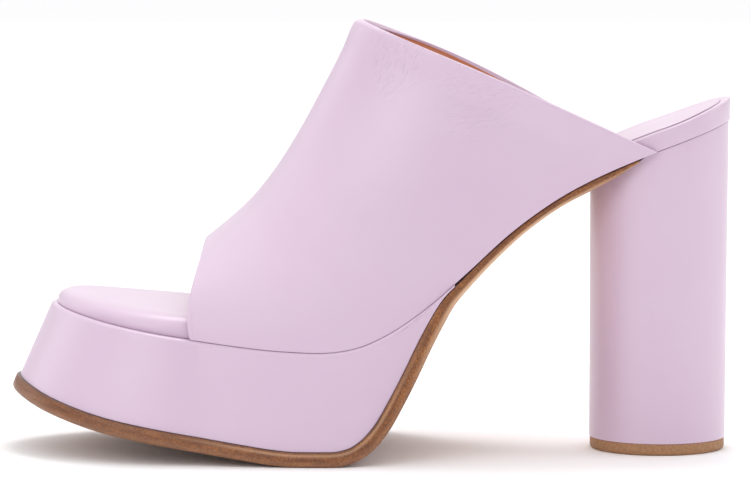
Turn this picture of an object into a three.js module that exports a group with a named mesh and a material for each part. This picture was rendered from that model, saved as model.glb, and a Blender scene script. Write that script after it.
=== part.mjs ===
// Platform mule for a left foot: a one-piece leather upper over a covered footbed, on a flared
// covered platform, with a brown leather outsole and a round covered block heel.
// Millimetres, +Z up. The toe points to -X and the outer (lateral) side to -Y. The floor is z = 0.
import * as THREE from 'three';
import { mergeVertices } from 'three/addons/utils/BufferGeometryUtils.js';

// Lengths and heights of the last.
const FOOTBED_LENGTH = 224.9; // level run of the footbed, toe tip to the back of the seat
const BALL_WIDTH = 84; // width of the footbed board across the ball
const SEAT_WIDTH = 47.2; // width of the round heel seat
const TOE_OFFSET = 5; // how far the toe tip lies towards the inner side
const TOE_RUN = 45; // length of the rounded toe of the footbed
const PLATFORM_HEIGHT = 37.2; // underside of the footbed above the floor, at the ball
const TOE_RISE = 11.2; // rise of the footbed from the ball to its toe tip
const SEAT_HEIGHT = 111.5; // underside of the footbed above the floor, at the back of the seat

// Outsole and platform.
const SOLE_THICKNESS = 4.7;
const TOE_SPRING = 19.4; // underside of the outsole above the floor at its toe tip
const TOE_FLARE = 16; // how far the platform's foot runs ahead of the footbed
const SIDE_FLARE = 3.2; // how far the platform widens on each side on its way down
const PLATFORM_TOE_RUN = 62; // length of the rounded toe where platform meets outsole
const PLATFORM_EDGE = 1.3; // radius of the platform's top edge
const EDGE_SHARE = 0.3; // most of the wall's height that the edge takes, where it runs thin
const TOE_WELT = 1.0; // how far the outsole shows ahead of the platform
const SIDE_WELT = 1.0; // how far it shows along the sides
const SHANK_MARGIN = 2.0; // outsole outside the footbed board, along the shank
const SOLE_BEVEL = 0.9; // bevel of the outsole's edges
const SOLE_TAIL_RUN = 32.5; // from the back of the seat to the skived end of the outsole
const PLATFORM_TAIL = 0.8; // thickness left at the platform's rear edge
const BALL_BACK = 0.45; // share of the footbed's length at the back of the ball

// Footbed and sock.
const FOOTBED_THICKNESS = 6.1;
const TOE_PAD_DROP = 3.4; // height of the padded round edge at the toe
const TOE_PAD_RUN = 4; // its width there
const PAD_END = 0.2; // share of the length where the padded edge begins to fade
const PAD_FADE = 0.4; // share over which it fades into the firm edge of the seat
const FOOTBED_BEVEL = 0.6; // bevel of its lower edge
const SEAT_EDGE = 1.2; // radius of the footbed's upper edge at the seat
const SEAT_CURL = 1.6; // rise of the seat's rim at the back
const CURL_SHARE = 0.12; // share of the footbed's length over which it rises
const SOCK_THICKNESS = 0.9;
const SOCK_INSET = 3.2; // from the rim of the footbed to the edge of the sock
const SOCK_LENGTH = 86.5; // level run of the half sock, from the back of the seat

// Heel.
const HEEL_DIAMETER = 45.8; // just under the seat
const SEAT_OVERHANG = 1.3; // seat beyond the heel at the back
const HEEL_STEP_BACK = 0.6; // from the outsole's end to where the heel starts to rise
const HEEL_STEP_RUN = 3.5; // run of that rise, from the outsole up to the seat
const HEEL_TAPER = 0.25; // how much less the radius is at the floor
const LIFT_THICKNESS = 4.0;
const LIFT_SETBACK = 0.2; // lift inside the covered block
const LIFT_BEVEL = 1.1;

// Upper.
const UPPER_WALL = 1.9; // leather and lining together
const UPPER_FIT = 0.5; // between the upper and the footbed's edge
const SEAM_STEP = 0.8; // platform outside the upper at their seam
const VAMP_START = 43.4; // front edge of the upper behind the toe tip, at the seam
const LATERAL_WING_RUN = 28; // from the back of the seat forward to the outer wing's tip
const MEDIAL_WING_RUN = 33.5; // and to the inner wing's tip
const FRONT_RISE = 29.1; // height of the front opening over the footbed's underside
const FRONT_LEAN = 4.6; // how far the front edge leans back at its top
const PEAK_RUN = 101; // from the toe tip back to the top of the upper
const PEAK_HEIGHT = 143.9; // top of the upper above the floor
const LATERAL_FRONT_BOW = 2.2; // forward bow of the front edge halfway up, outer side
const MEDIAL_FRONT_BOW = 1.0; // the same, inner side
const FRONT_BOW_REACH = 0.25; // share of the upper's length over which it fades
const TOPLINE_BOW = 0.8; // upward bow of the topline, in side view
const TOPLINE_BOW_REACH = 0.33; // share over which that fades
const WALL_PULL = 0.35; // share of its height over which the wall rises square to the footbed
const LEAN_START = 0.7; // share of the upper's length where it starts to lean with the topline

const GAP = 0.35; // clearance between two pieces that lie on each other

// Spacing of the modelled faces.
const ROUND_STEPS = 11; // stations in a rounded end
const HEEL_STEPS = 32; // around half of the heel
const EDGE_ANGLES = [0, 30, 60, 90]; // stations over a rounded edge, in degrees
const BED_PITCH = 7; // between stations along the footbed and the sock
const SOLE_PITCH = 5; // along the outsole
const PLATFORM_PITCH = 6; // along the platform
const UPPER_ROWS = 30; // from the front opening to the topline
const UPPER_COLUMNS = 26; // over the foot, seam to seam
const SAMPLES = 400; // points that measure the length of a curve
const SLOPE_STEP = 0.8; // half the run over which a curve's slope is taken
const NORMAL_STEP = 0.004; // the same for the upper's skin, as a share of its length

// Footbed in side view: along as a share of its length, toe as a share of the toe rise and
// climb as a share of the height from the ball to the seat.
const BED = [
  { along: 0.0, toe: 1.0, climb: 0.0 },
  { along: 0.1, toe: 0.62, climb: 0.0 },
  { along: 0.22, toe: 0.27, climb: 0.0 },
  { along: 0.33, toe: 0.04, climb: 0.0 },
  { along: 0.385, toe: 0.0, climb: 0.0 },
  { along: 0.43, toe: 0.0, climb: 0.015 },
  { along: 0.478, toe: 0.0, climb: 0.071 },
  { along: 0.537, toe: 0.0, climb: 0.186 },
  { along: 0.597, toe: 0.0, climb: 0.336 },
  { along: 0.667, toe: 0.0, climb: 0.52 },
  { along: 0.747, toe: 0.0, climb: 0.685 },
  { along: 0.857, toe: 0.0, climb: 0.841 },
  { along: 1.0, toe: 0.0, climb: 1.0 },
];

// Footbed from above: half-widths as shares of the ball width and of the seat width, and the
// flare of platform and outsole as a share of its full amount.
const PLAN = [
  { along: 0.2, lateral: 0.467, medial: 0.449, seat: 0.0, flare: 1.0 },
  { along: 0.27, lateral: 0.498, medial: 0.479, seat: 0.0, flare: 1.0 },
  { along: 0.33, lateral: 0.514, medial: 0.486, seat: 0.0, flare: 1.0 },
  { along: 0.39, lateral: 0.52, medial: 0.463, seat: 0.0, flare: 1.0 },
  { along: 0.45, lateral: 0.501, medial: 0.419, seat: 0.0, flare: 0.97 },
  { along: 0.5, lateral: 0.463, medial: 0.369, seat: 0.0, flare: 0.88 },
  { along: 0.56, lateral: 0.342, medial: 0.261, seat: 0.1, flare: 0.6 },
  { along: 0.62, lateral: 0.226, medial: 0.16, seat: 0.22, flare: 0.2 },
  { along: 0.7, lateral: 0.119, medial: 0.075, seat: 0.34, flare: 0.0 },
  { along: 0.8, lateral: 0.036, medial: 0.02, seat: 0.43, flare: 0.0 },
  { along: 0.89, lateral: 0.0, medial: 0.0, seat: 0.5, flare: 0.0 },
  { along: 1.0, lateral: 0.0, medial: 0.0, seat: 0.5, flare: 0.0 },
];

// Underside of the outsole in front of the shank: along as a share of the footbed's length,
// toe as a share of the toe spring and climb as a share of the height of the arch break.
const TREAD = [
  { along: -0.02, toe: 0.753, climb: 0.0 },
  { along: 0.063, toe: 0.495, climb: 0.0 },
  { along: 0.134, toe: 0.348, climb: 0.0 },
  { along: 0.206, toe: 0.215, climb: 0.0 },
  { along: 0.268, toe: 0.106, climb: 0.0 },
  { along: 0.313, toe: 0.032, climb: 0.0 },
  { along: 0.349, toe: 0.0, climb: 0.0 },
  { along: 0.403, toe: 0.0, climb: 0.0 },
  { along: 0.43, toe: 0.0, climb: 0.02 },
  { along: 0.456, toe: 0.0, climb: 0.079 },
  { along: 0.4825, toe: 0.0, climb: 0.196 },
  { along: 0.5045, toe: 0.0, climb: 0.348 },
  { along: 0.5265, toe: 0.0, climb: 0.518 },
  { along: 0.547, toe: 0.0, climb: 0.691 },
  { along: 0.568, toe: 0.0, climb: 0.85 },
  { along: 0.58, toe: 0.0, climb: 0.936 },
];
const ARCH_BREAK = 0.581; // where the steep rear face has turned into the shank
const SHANK = [0.61, 0.64, 0.68, 0.73, 0.78, 0.83, 0.9]; // the shank follows the footbed here

// Thickness of the outsole as a share of its full thickness.
const SKIVE = [
  { along: 0.5, thick: 1.0 },
  { along: 0.56, thick: 0.86 },
  { along: 0.61, thick: 0.62 },
  { along: 0.72, thick: 0.52 },
  { along: 0.79, thick: 0.58 },
  { along: 0.83, thick: 0.38 },
  { along: 0.865, thick: 0.12 },
  { along: 0.95, thick: 0.1 },
];

// Ridge of the upper from the front opening to its top: run and rise as shares of the way.
const RIDGE = [
  { run: 0.0, rise: 0.0 },
  { run: 0.145, rise: 0.085 },
  { run: 0.295, rise: 0.185 },
  { run: 0.445, rise: 0.32 },
  { run: 0.595, rise: 0.492 },
  { run: 0.745, rise: 0.692 },
  { run: 0.865, rise: 0.865 },
  { run: 0.93, rise: 0.97 },
  { run: 1.0, rise: 1.0 },
];

// Cross-sections of the upper, fanning from the front opening (at 0) to the topline (at 1):
// crown squares the arch off, swell widens it half-way up, and ridge moves its top to the
// inner side as a share of the ball width.
const SECTIONS = [
  { at: 0.0, crown: 2.3, swell: 0.0, ridge: 0.03 },
  { at: 0.3, crown: 2.15, swell: 0.0, ridge: 0.055 },
  { at: 0.65, crown: 2.4, swell: 0.1, ridge: 0.055 },
  { at: 0.85, crown: 2.8, swell: 0.26, ridge: 0.035 },
  { at: 1.0, crown: 3.1, swell: 0.42, ridge: 0.015 },
];

// Edges in section, from below: height as a share of the piece's thickness, and inset as a
// share of the outsole's bevel, of the sock's thickness and of the lift's bevel.
const SOLE_RIM = [
  { height: 0.0, inset: 1.0 },
  { height: 0.22, inset: 0.0 },
  { height: 0.85, inset: 0.0 },
  { height: 1.0, inset: 0.4 },
];
const SOCK_RIM = [
  { height: 0.0, inset: 0.0 },
  { height: 0.6, inset: 0.0 },
  { height: 1.0, inset: 0.4 },
];
const LIFT_RIM = [
  { height: 0.0, inset: 1.0 },
  { height: 0.08, inset: 0.35 },
  { height: 0.28, inset: 0.0 },
  { height: 1.0, inset: 0.0 },
];

const clamp01 = (value) => Math.min(1, Math.max(0, value));
const mix = (a, b, share) => a + (b - a) * share;
const smooth = (share) => clamp01(share) ** 2 * (3 - 2 * clamp01(share));

// A curve through points of rising x that never swings past them; straight beyond its ends.
function curveThrough(xs, ys) {
  const last = xs.length - 1;
  const chord = xs.slice(1).map((x, i) => (ys[i + 1] - ys[i]) / (x - xs[i]));
  const slope = xs.map((_, i) => {
    if (i === 0 || i === last) return chord[Math.min(i, last - 1)];
    const [before, after] = [chord[i - 1], chord[i]];
    return before * after <= 0 ? 0 : (2 * before * after) / (before + after);
  });
  return (x) => {
    if (x <= xs[0]) return ys[0] + slope[0] * (x - xs[0]);
    if (x >= xs[last]) return ys[last] + slope[last] * (x - xs[last]);
    const i = xs.findIndex((_, k) => x < xs[k + 1]);
    const width = xs[i + 1] - xs[i];
    const t = (x - xs[i]) / width;
    const rise = ys[i + 1] - ys[i];
    const a = slope[i] * width - rise;
    const b = rise - slope[i + 1] * width;
    return ys[i] + rise * t + t * (1 - t) * (a * (1 - t) + b * t);
  };
}

const column = (table, key, name) =>
  curveThrough(table.map((row) => row[key]), table.map((row) => row[name]));

// The footbed's underside and the outsole's underside, as heights over a level run.
const climbHeight = SEAT_HEIGHT - PLATFORM_HEIGHT;
const bedHeight = curveThrough(
  BED.map((row) => row.along * FOOTBED_LENGTH),
  BED.map((row) => PLATFORM_HEIGHT + TOE_RISE * row.toe + climbHeight * row.climb),
);
const skive = column(SKIVE, 'along', 'thick');
const soleThickness = (x) => SOLE_THICKNESS * Math.min(1, skive(x / FOOTBED_LENGTH));

// The point at height `up` over a curve, measured square to it.
function above(curve, x, up) {
  const slope = (curve(x + SLOPE_STEP) - curve(x - SLOPE_STEP)) / (2 * SLOPE_STEP);
  const scale = 1 / Math.hypot(1, slope);
  return { x: x - slope * scale * up, z: curve(x) + scale * up };
}

const underShank = (share) => {
  const x = share * FOOTBED_LENGTH;
  return above(bedHeight, x, -(GAP / 2 + soleThickness(x)));
};
const archBreak = underShank(ARCH_BREAK);
const treadPoints = [
  { x: -TOE_FLARE - TOE_WELT, z: TOE_SPRING },
  ...TREAD.map((row) => ({
    x: row.along * FOOTBED_LENGTH,
    z: TOE_SPRING * row.toe + archBreak.z * row.climb,
  })),
  archBreak,
  ...SHANK.map(underShank),
];
const soleHeight = curveThrough(treadPoints.map((p) => p.x), treadPoints.map((p) => p.z));

// Points of a curve between two level runs; their length, and the level run at a share of it.
const samplesOf = (from, to, curve) =>
  Array.from({ length: SAMPLES + 1 }, (_, i) => {
    const x = mix(from, to, i / SAMPLES);
    return { x, z: curve(x) };
  });
function evenRun(samples) {
  const run = [0];
  for (let i = 1; i < samples.length; i++) {
    const step = Math.hypot(samples[i].x - samples[i - 1].x, samples[i].z - samples[i - 1].z);
    run.push(run[i - 1] + step);
  }
  const total = run[run.length - 1];
  const runAt = curveThrough(run.map((r) => r / total), samples.map((point) => point.x));
  return { total, runAt };
}

// Level stations of an outline, close together where an end is round.
function stations(outline, pitch, curve) {
  const quarter = (i) => (i / ROUND_STEPS) * (Math.PI / 2);
  const from = outline.start + outline.toeRun;
  const to = outline.end - outline.seatRun;
  const xs = [];
  for (let i = 0; i < ROUND_STEPS && outline.toeRun > 0; i++) {
    xs.push(outline.start + outline.toeRun * (1 - Math.cos(quarter(i))));
  }
  const { total, runAt } = evenRun(samplesOf(from, to, curve));
  const steps = Math.max(2, Math.round(total / pitch));
  for (let i = 0; i <= steps; i++) xs.push(runAt(i / steps));
  for (let i = 1; i <= ROUND_STEPS && outline.seatRun > 0; i++) {
    xs.push(to + outline.seatRun * Math.sin(quarter(i)));
  }
  return xs;
}

// Outlines from above. Each has the level runs of its ends and its margin outside the board.
const plan = Object.fromEntries(
  ['lateral', 'medial', 'seat', 'flare'].map((name) => [name, column(PLAN, 'along', name)]),
);
const planShare = (x) => Math.min(1, Math.max(PLAN[0].along, x / FOOTBED_LENGTH));
const ledge = UPPER_FIT + UPPER_WALL + SEAM_STEP;
const fullSoleMargin = ledge + SIDE_FLARE + SIDE_WELT;
const outlines = {
  footbed: {
    start: 0,
    end: FOOTBED_LENGTH,
    toeRun: TOE_RUN,
    seatRun: SEAT_WIDTH / 2,
    margin: () => 0,
  },
  sock: {
    start: FOOTBED_LENGTH - SOCK_LENGTH,
    end: FOOTBED_LENGTH - SOCK_INSET,
    toeRun: 0,
    seatRun: SEAT_WIDTH / 2 - SOCK_INSET,
    margin: () => -SOCK_INSET,
  },
  upper: {
    start: 0,
    end: FOOTBED_LENGTH,
    toeRun: TOE_RUN,
    seatRun: 0,
    margin: () => UPPER_FIT + UPPER_WALL,
  },
  platformTop: {
    start: -ledge,
    end: FOOTBED_LENGTH,
    toeRun: TOE_RUN,
    seatRun: 0,
    margin: () => ledge,
  },
  platformFoot: {
    start: -TOE_FLARE,
    end: FOOTBED_LENGTH,
    toeRun: PLATFORM_TOE_RUN,
    seatRun: 0,
    margin: (share) => ledge + SIDE_FLARE * plan.flare(share),
  },
  outsole: {
    start: -TOE_FLARE - TOE_WELT,
    end: FOOTBED_LENGTH - SOLE_TAIL_RUN,
    toeRun: PLATFORM_TOE_RUN + TOE_WELT,
    seatRun: 0,
    margin: (share) => mix(SHANK_MARGIN, fullSoleMargin, plan.flare(share)),
  },
};

// Width of a rounded end, as a share of the full width, at a distance from the end.
const endWidth = (distance, run) => {
  const share = run > 0 ? clamp01(distance / run) : 1;
  return Math.sqrt(1 - (1 - share) ** 2);
};

// Where an outline's two sides lie at a level run, each pulled in by an inset.
function sidesAt(outline, x, inset = 0) {
  const share = planShare(x);
  const toe = endWidth(x - outline.start, outline.toeRun);
  const seat = endWidth(outline.end - x, outline.seatRun);
  const base = SEAT_WIDTH * plan.seat(share) + outline.margin(share) - inset;
  const reach = toe * seat;
  return {
    lateral: TOE_OFFSET * (1 - toe) - (BALL_WIDTH * plan.lateral(share) + base) * reach,
    medial: TOE_OFFSET * (1 - toe) + (BALL_WIDTH * plan.medial(share) + base) * reach,
  };
}

// A closed geometry from loose triangles: merged, without flat ones, facing outwards.
function closedGeometry(triangles) {
  const loose = new THREE.BufferGeometry();
  loose.setAttribute('position', new THREE.Float32BufferAttribute(triangles.flat(2), 3));
  const merged = mergeVertices(loose, 1e-4);
  const position = merged.getAttribute('position');
  const index = merged.getIndex().array;
  const corner = (i) => new THREE.Vector3().fromBufferAttribute(position, i);
  const kept = [];
  let volume = 0;
  for (let i = 0; i < index.length; i += 3) {
    const [a, b, c] = index.slice(i, i + 3);
    if (a === b || b === c || c === a) continue;
    kept.push([a, b, c]);
    volume += corner(a).dot(corner(b).cross(corner(c)));
  }
  merged.setIndex(kept.flatMap(([a, b, c]) => (volume > 0 ? [a, b, c] : [a, c, b])));
  merged.computeVertexNormals();
  return merged;
}

const quad = (a, b, c, d) => [[a, b, c], [a, c, d]];

// A solid from rings of stations, bottom ring first. A station holds a lateral and a medial
// point; the rings' ends close by a pole or by a straight edge, and the first and last rings
// are capped straight across.
function ringSolid(rings) {
  const loops = rings.map((ring) => [
    ...ring.map((station) => station.lateral),
    ...ring.map((station) => station.medial).reverse(),
  ]);
  const triangles = [];
  for (let r = 0; r + 1 < loops.length; r++) {
    const [low, high] = [loops[r], loops[r + 1]];
    for (let i = 0; i < low.length; i++) {
      const next = (i + 1) % low.length;
      triangles.push(...quad(low[i], low[next], high[next], high[i]));
    }
  }
  const cap = (ring, up) => {
    for (let i = 0; i + 1 < ring.length; i++) {
      const [a, b] = [ring[i], ring[i + 1]];
      const corners = [a.lateral, b.lateral, b.medial, a.medial];
      triangles.push(...quad(...(up ? corners : corners.reverse())));
    }
  };
  cap(rings[0], false);
  cap(rings[rings.length - 1], true);
  return closedGeometry(triangles);
}

// One ring of a piece that follows a curve. Its height over the curve and its inset from the
// outline are both functions of the level run.
function ringOver(curve, outline, xs, up, inset) {
  const [first, last] = [xs[0], xs[xs.length - 1]];
  const backInset = outline.seatRun > 0 ? inset(last) : 0;
  return xs.map((x) => {
    const drawnIn = mix(first + inset(first), last - backInset, (x - first) / (last - first));
    const { lateral, medial } = sidesAt(outline, x, inset(x));
    const at = above(curve, drawnIn, up(x));
    return { lateral: [at.x, lateral, at.z], medial: [at.x, medial, at.z] };
  });
}

const fixed = (value) => () => value;

// The share of the way from padded forefoot to firm seat, and the footbed's top over its
// underside, with the rim that turns up at the back.
const toSeat = (x) => smooth((x / FOOTBED_LENGTH - PAD_END) / PAD_FADE);
const curl = (x) => SEAT_CURL * smooth(1 - (1 - x / FOOTBED_LENGTH) / CURL_SHARE);
const footbedTop = (x) => GAP / 2 + FOOTBED_THICKNESS + curl(x);

// The footbed is padded: its upper edge is a wide round at the toe and a small one at the seat.
function footbedGeometry() {
  const outline = outlines.footbed;
  const xs = stations(outline, BED_PITCH, bedHeight);
  const drop = (x) => mix(TOE_PAD_DROP, SEAT_EDGE, toSeat(x));
  const run = (x) => mix(TOE_PAD_RUN, SEAT_EDGE, toSeat(x));
  const rings = [
    ringOver(bedHeight, outline, xs, fixed(GAP / 2), fixed(FOOTBED_BEVEL)),
    ringOver(bedHeight, outline, xs, fixed(GAP / 2 + FOOTBED_BEVEL), fixed(0)),
  ];
  for (const degrees of EDGE_ANGLES) {
    const angle = THREE.MathUtils.degToRad(degrees);
    const up = (x) => footbedTop(x) - drop(x) * (1 - Math.sin(angle));
    const inset = (x) => run(x) * (1 - Math.cos(angle));
    rings.push(ringOver(bedHeight, outline, xs, up, inset));
  }
  return ringSolid(rings);
}

function sockGeometry() {
  const outline = outlines.sock;
  const xs = stations(outline, BED_PITCH, bedHeight);
  return ringSolid(
    SOCK_RIM.map(({ height, inset }) => {
      const up = (x) => footbedTop(x) + GAP + height * SOCK_THICKNESS;
      return ringOver(bedHeight, outline, xs, up, fixed(inset * SOCK_THICKNESS));
    }),
  );
}

function outsoleGeometry() {
  const outline = outlines.outsole;
  const xs = stations(outline, SOLE_PITCH, soleHeight);
  return ringSolid(
    SOLE_RIM.map(({ height, inset }) => {
      const up = (x) => height * soleThickness(x);
      return ringOver(soleHeight, outline, xs, up, fixed(inset * SOLE_BEVEL));
    }),
  );
}

// The platform stands on the outsole and carries the footbed; it ends where the two meet.
function platformGeometry() {
  const foot = outlines.platformFoot;
  const top = outlines.platformTop;
  const footAt = (x) => above(soleHeight, x, soleThickness(x) + GAP);
  const topAt = (x) => above(bedHeight, x, -GAP / 2);
  const spaceAt = (x) => bedHeight(footAt(x).x) - GAP - footAt(x).z;
  let [rear, behind] = [BALL_BACK * FOOTBED_LENGTH, archBreak.x];
  while (behind - rear > GAP) {
    const middle = (rear + behind) / 2;
    if (spaceAt(middle) > PLATFORM_TAIL) rear = middle;
    else behind = middle;
  }
  const topRear = footAt(rear).x;
  const footXs = stations({ ...foot, end: rear }, PLATFORM_PITCH, soleHeight);
  const topXs = footXs.map((x, i) => {
    if (i < ROUND_STEPS) return top.start + (x - foot.start) * (top.toeRun / foot.toeRun);
    const share = (i - ROUND_STEPS) / (footXs.length - 1 - ROUND_STEPS);
    return mix(top.start + top.toeRun, topRear, share);
  });
  const ring = (liftAt, inset) =>
    footXs.map((x, i) => {
      const low = footAt(x);
      const high = topAt(mix(topXs[i], topRear, inset / (topRear - top.start)));
      const lift = liftAt(Math.hypot(high.x - low.x, high.z - low.z));
      const lowSides = sidesAt(foot, x);
      const highSides = sidesAt(top, topXs[i], inset);
      const at = (side) => [
        mix(low.x, high.x, lift),
        mix(lowSides[side], highSides[side], lift),
        mix(low.z, high.z, lift),
      ];
      return { lateral: at('lateral'), medial: at('medial') };
    });
  const walls = [0, 1 / 3, 2 / 3].map((lift) => ring(fixed(lift), 0));
  const edge = EDGE_ANGLES.map((degrees) => {
    const angle = THREE.MathUtils.degToRad(degrees);
    const drop = 1 - Math.sin(angle);
    const lift = (wall) => 1 - drop * Math.min(PLATFORM_EDGE / wall, EDGE_SHARE);
    return ring(lift, PLATFORM_EDGE * (1 - Math.cos(angle)));
  });
  return ringSolid([...walls, ...edge]);
}

// The heel block stands up to the outsole's end and the seat, and follows both from below.
const heelAxis = FOOTBED_LENGTH - SEAT_WIDTH / 2 - SEAT_OVERHANG;
const soleEnd = outlines.outsole.end;
function heelTop(x) {
  const slant = 1 / (above(bedHeight, x, 1).z - bedHeight(x));
  const underSeat = bedHeight(x) + (GAP / 2) * slant;
  const past = smooth((x - soleEnd - HEEL_STEP_BACK) / HEEL_STEP_RUN);
  return mix(soleHeight(x), underSeat, past) - GAP * slant;
}

function roundStations(radius, height) {
  return Array.from({ length: HEEL_STEPS + 1 }, (_, i) => {
    const angle = (Math.PI * i) / HEEL_STEPS;
    const x = heelAxis - radius * Math.cos(angle);
    const y = i % HEEL_STEPS === 0 ? 0 : radius * Math.sin(angle);
    return { lateral: [x, -y, height(x)], medial: [x, y, height(x)] };
  });
}

function heelGeometry() {
  const radius = HEEL_DIAMETER / 2;
  return ringSolid([
    roundStations(radius - HEEL_TAPER, fixed(LIFT_THICKNESS + GAP)),
    roundStations(radius, heelTop),
  ]);
}

function liftGeometry() {
  const radius = HEEL_DIAMETER / 2 - HEEL_TAPER - LIFT_SETBACK;
  return ringSolid(
    LIFT_RIM.map(({ height, inset }) =>
      roundStations(radius - LIFT_BEVEL * inset, fixed(LIFT_THICKNESS * height))),
  );
}

// The upper's skin: `along` runs from the front opening to the topline, and `turn` over the
// foot from the lateral seam (-1) by the ridge (0) to the medial seam (1).
const section = Object.fromEntries(
  ['crown', 'swell', 'ridge'].map((name) => [name, column(SECTIONS, 'at', name)]),
);
const frontTop = {
  x: VAMP_START + FRONT_LEAN,
  z: bedHeight(VAMP_START) + FRONT_RISE,
};
const ridgeHeight = curveThrough(
  RIDGE.map((row) => mix(frontTop.x, PEAK_RUN, row.run)),
  RIDGE.map((row) => mix(frontTop.z, PEAK_HEIGHT, row.rise)),
);
const ridgeX = evenRun(samplesOf(frontTop.x, PEAK_RUN, ridgeHeight)).runAt;
const seamTo = (wingRun) =>
  evenRun(samplesOf(VAMP_START, FOOTBED_LENGTH - wingRun, bedHeight)).runAt;
const lateralSeam = seamTo(LATERAL_WING_RUN);
const medialSeam = seamTo(MEDIAL_WING_RUN);

function skinPoint(along, turn) {
  const baseX = turn < 0 ? lateralSeam(along) : medialSeam(along);
  const base = above(bedHeight, baseX, GAP / 2);
  const square = above(bedHeight, baseX, GAP / 2 + 1);
  const peakX = ridgeX(along);
  const peak = { x: peakX, z: ridgeHeight(peakX) };
  const chord = { x: peak.x - base.x, z: peak.z - base.z };
  const length = Math.hypot(chord.x, chord.z);
  const lean = smooth((along - LEAN_START) / (1 - LEAN_START));
  const rise = {
    x: mix(square.x - base.x, chord.x / length, lean),
    z: mix(square.z - base.z, chord.z / length, lean),
  };
  const pull = WALL_PULL * length;
  const angle = (1 - Math.abs(turn)) * (Math.PI / 2);
  const up = Math.sin(angle) ** (2 / section.crown(along));
  const control = { x: base.x + rise.x * pull, z: base.z + rise.z * pull };
  const frontBow = turn < 0 ? LATERAL_FRONT_BOW : MEDIAL_FRONT_BOW;
  const bow = frontBow * 4 * up * (1 - up) * (1 - smooth(along / FRONT_BOW_REACH));
  const crest = TOPLINE_BOW * 6.75 * up ** 2 * (1 - up);
  const push = crest * smooth(1 - (1 - along) / TOPLINE_BOW_REACH) - bow;
  const across = { x: chord.z / length, z: -chord.x / length };
  const x = (1 - up) ** 2 * base.x + 2 * up * (1 - up) * control.x + up ** 2 * peak.x;
  const z = (1 - up) ** 2 * base.z + 2 * up * (1 - up) * control.z + up ** 2 * peak.z;
  const sides = sidesAt(outlines.upper, baseX);
  const cover = Math.cos(angle) * (1 + section.swell(along) * smooth(up));
  const side = turn < 0 ? sides.lateral : sides.medial;
  const y = side * cover + BALL_WIDTH * section.ridge(along) * (1 - Math.cos(angle));
  return new THREE.Vector3(x + across.x * push, y, z + across.z * push);
}

function skinNormal(along, turn) {
  const [ahead, behind] = [Math.max(0, along - NORMAL_STEP), Math.min(1, along + NORMAL_STEP)];
  const [left, right] = [Math.max(-1, turn - NORMAL_STEP), Math.min(1, turn + NORMAL_STEP)];
  const run = skinPoint(behind, turn).sub(skinPoint(ahead, turn));
  const over = skinPoint(along, right).sub(skinPoint(along, left));
  return run.cross(over).normalize();
}

// The upper's wall: its outer and inner skins, joined along the front, the topline and the
// seams. It is open in front, on top and underneath.
function upperGeometry() {
  const outer = [];
  const inner = [];
  for (let i = 0; i <= UPPER_ROWS; i++) {
    outer.push([]);
    inner.push([]);
    for (let j = 0; j <= UPPER_COLUMNS; j++) {
      const along = i / UPPER_ROWS;
      const turn = (2 * j) / UPPER_COLUMNS - 1;
      const point = skinPoint(along, turn);
      const normal = skinNormal(along, turn);
      if (Math.abs(turn) === 1) normal.set(0, turn, 0);
      outer[i].push(point.toArray());
      inner[i].push(point.clone().addScaledVector(normal, -UPPER_WALL).toArray());
    }
  }
  const triangles = [];
  const sheet = (a, b, c, d) => triangles.push(...quad(a, b, c, d));
  const last = UPPER_COLUMNS;
  for (let i = 0; i < UPPER_ROWS; i++) {
    for (let j = 0; j < last; j++) {
      sheet(outer[i][j], outer[i + 1][j], outer[i + 1][j + 1], outer[i][j + 1]);
      sheet(inner[i][j], inner[i][j + 1], inner[i + 1][j + 1], inner[i + 1][j]);
    }
    sheet(outer[i][0], inner[i][0], inner[i + 1][0], outer[i + 1][0]);
    sheet(inner[i][last], outer[i][last], outer[i + 1][last], inner[i + 1][last]);
  }
  const [front, topline] = [0, UPPER_ROWS];
  for (let j = 0; j < last; j++) {
    sheet(outer[front][j], outer[front][j + 1], inner[front][j + 1], inner[front][j]);
    sheet(inner[topline][j], inner[topline][j + 1], outer[topline][j + 1], outer[topline][j]);
  }
  return closedGeometry(triangles);
}

// Pieces and their finishes.
const leather = { color: 0xd9c3de, roughness: 0.42, metalness: 0 };
const pieces = [
  ['outsole', outsoleGeometry(), { color: 0x8a5a3a, roughness: 0.45, metalness: 0 }],
  ['platform', platformGeometry(), leather],
  ['footbed', footbedGeometry(), { color: 0xe9dcea, roughness: 0.45, metalness: 0 }],
  ['heel_sock', sockGeometry(), { color: 0xe6d8e8, roughness: 0.5, metalness: 0 }],
  ['upper', upperGeometry(), leather],
  ['heel', heelGeometry(), leather],
  ['top_lift', liftGeometry(), { color: 0xa9825f, roughness: 0.6, metalness: 0 }],
];

const shoe = new THREE.Group();
for (const [name, geometry, finish] of pieces) {
  const mesh = new THREE.Mesh(geometry, new THREE.MeshStandardMaterial(finish));
  mesh.name = name;
  shoe.add(mesh);
}

// The origin is on the floor under the middle of the shoe.
const box = new THREE.Box3().setFromObject(shoe);
const middle = box.getCenter(new THREE.Vector3());
shoe.position.set(-middle.x, -middle.y, -box.min.z);

export default shoe;
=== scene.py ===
"""Looks of a left platform mule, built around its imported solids.

Sizes are in millimetres, as a shoemaker gives them, and vertices are placed in metres. A level
run of 0 is the toe tip of the footbed, and it grows towards the heel. Across the shoe, -Y is the
outer (lateral) side and +Y the inner (medial) side. The floor is at height 0.
"""

import logging
import math
from bisect import bisect_right
from collections.abc import Callable, Sequence
from dataclasses import dataclass
from enum import Enum
from functools import cache, cached_property
from typing import NamedTuple, Protocol

import bmesh
import bpy
from mathutils import Matrix, Vector

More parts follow.
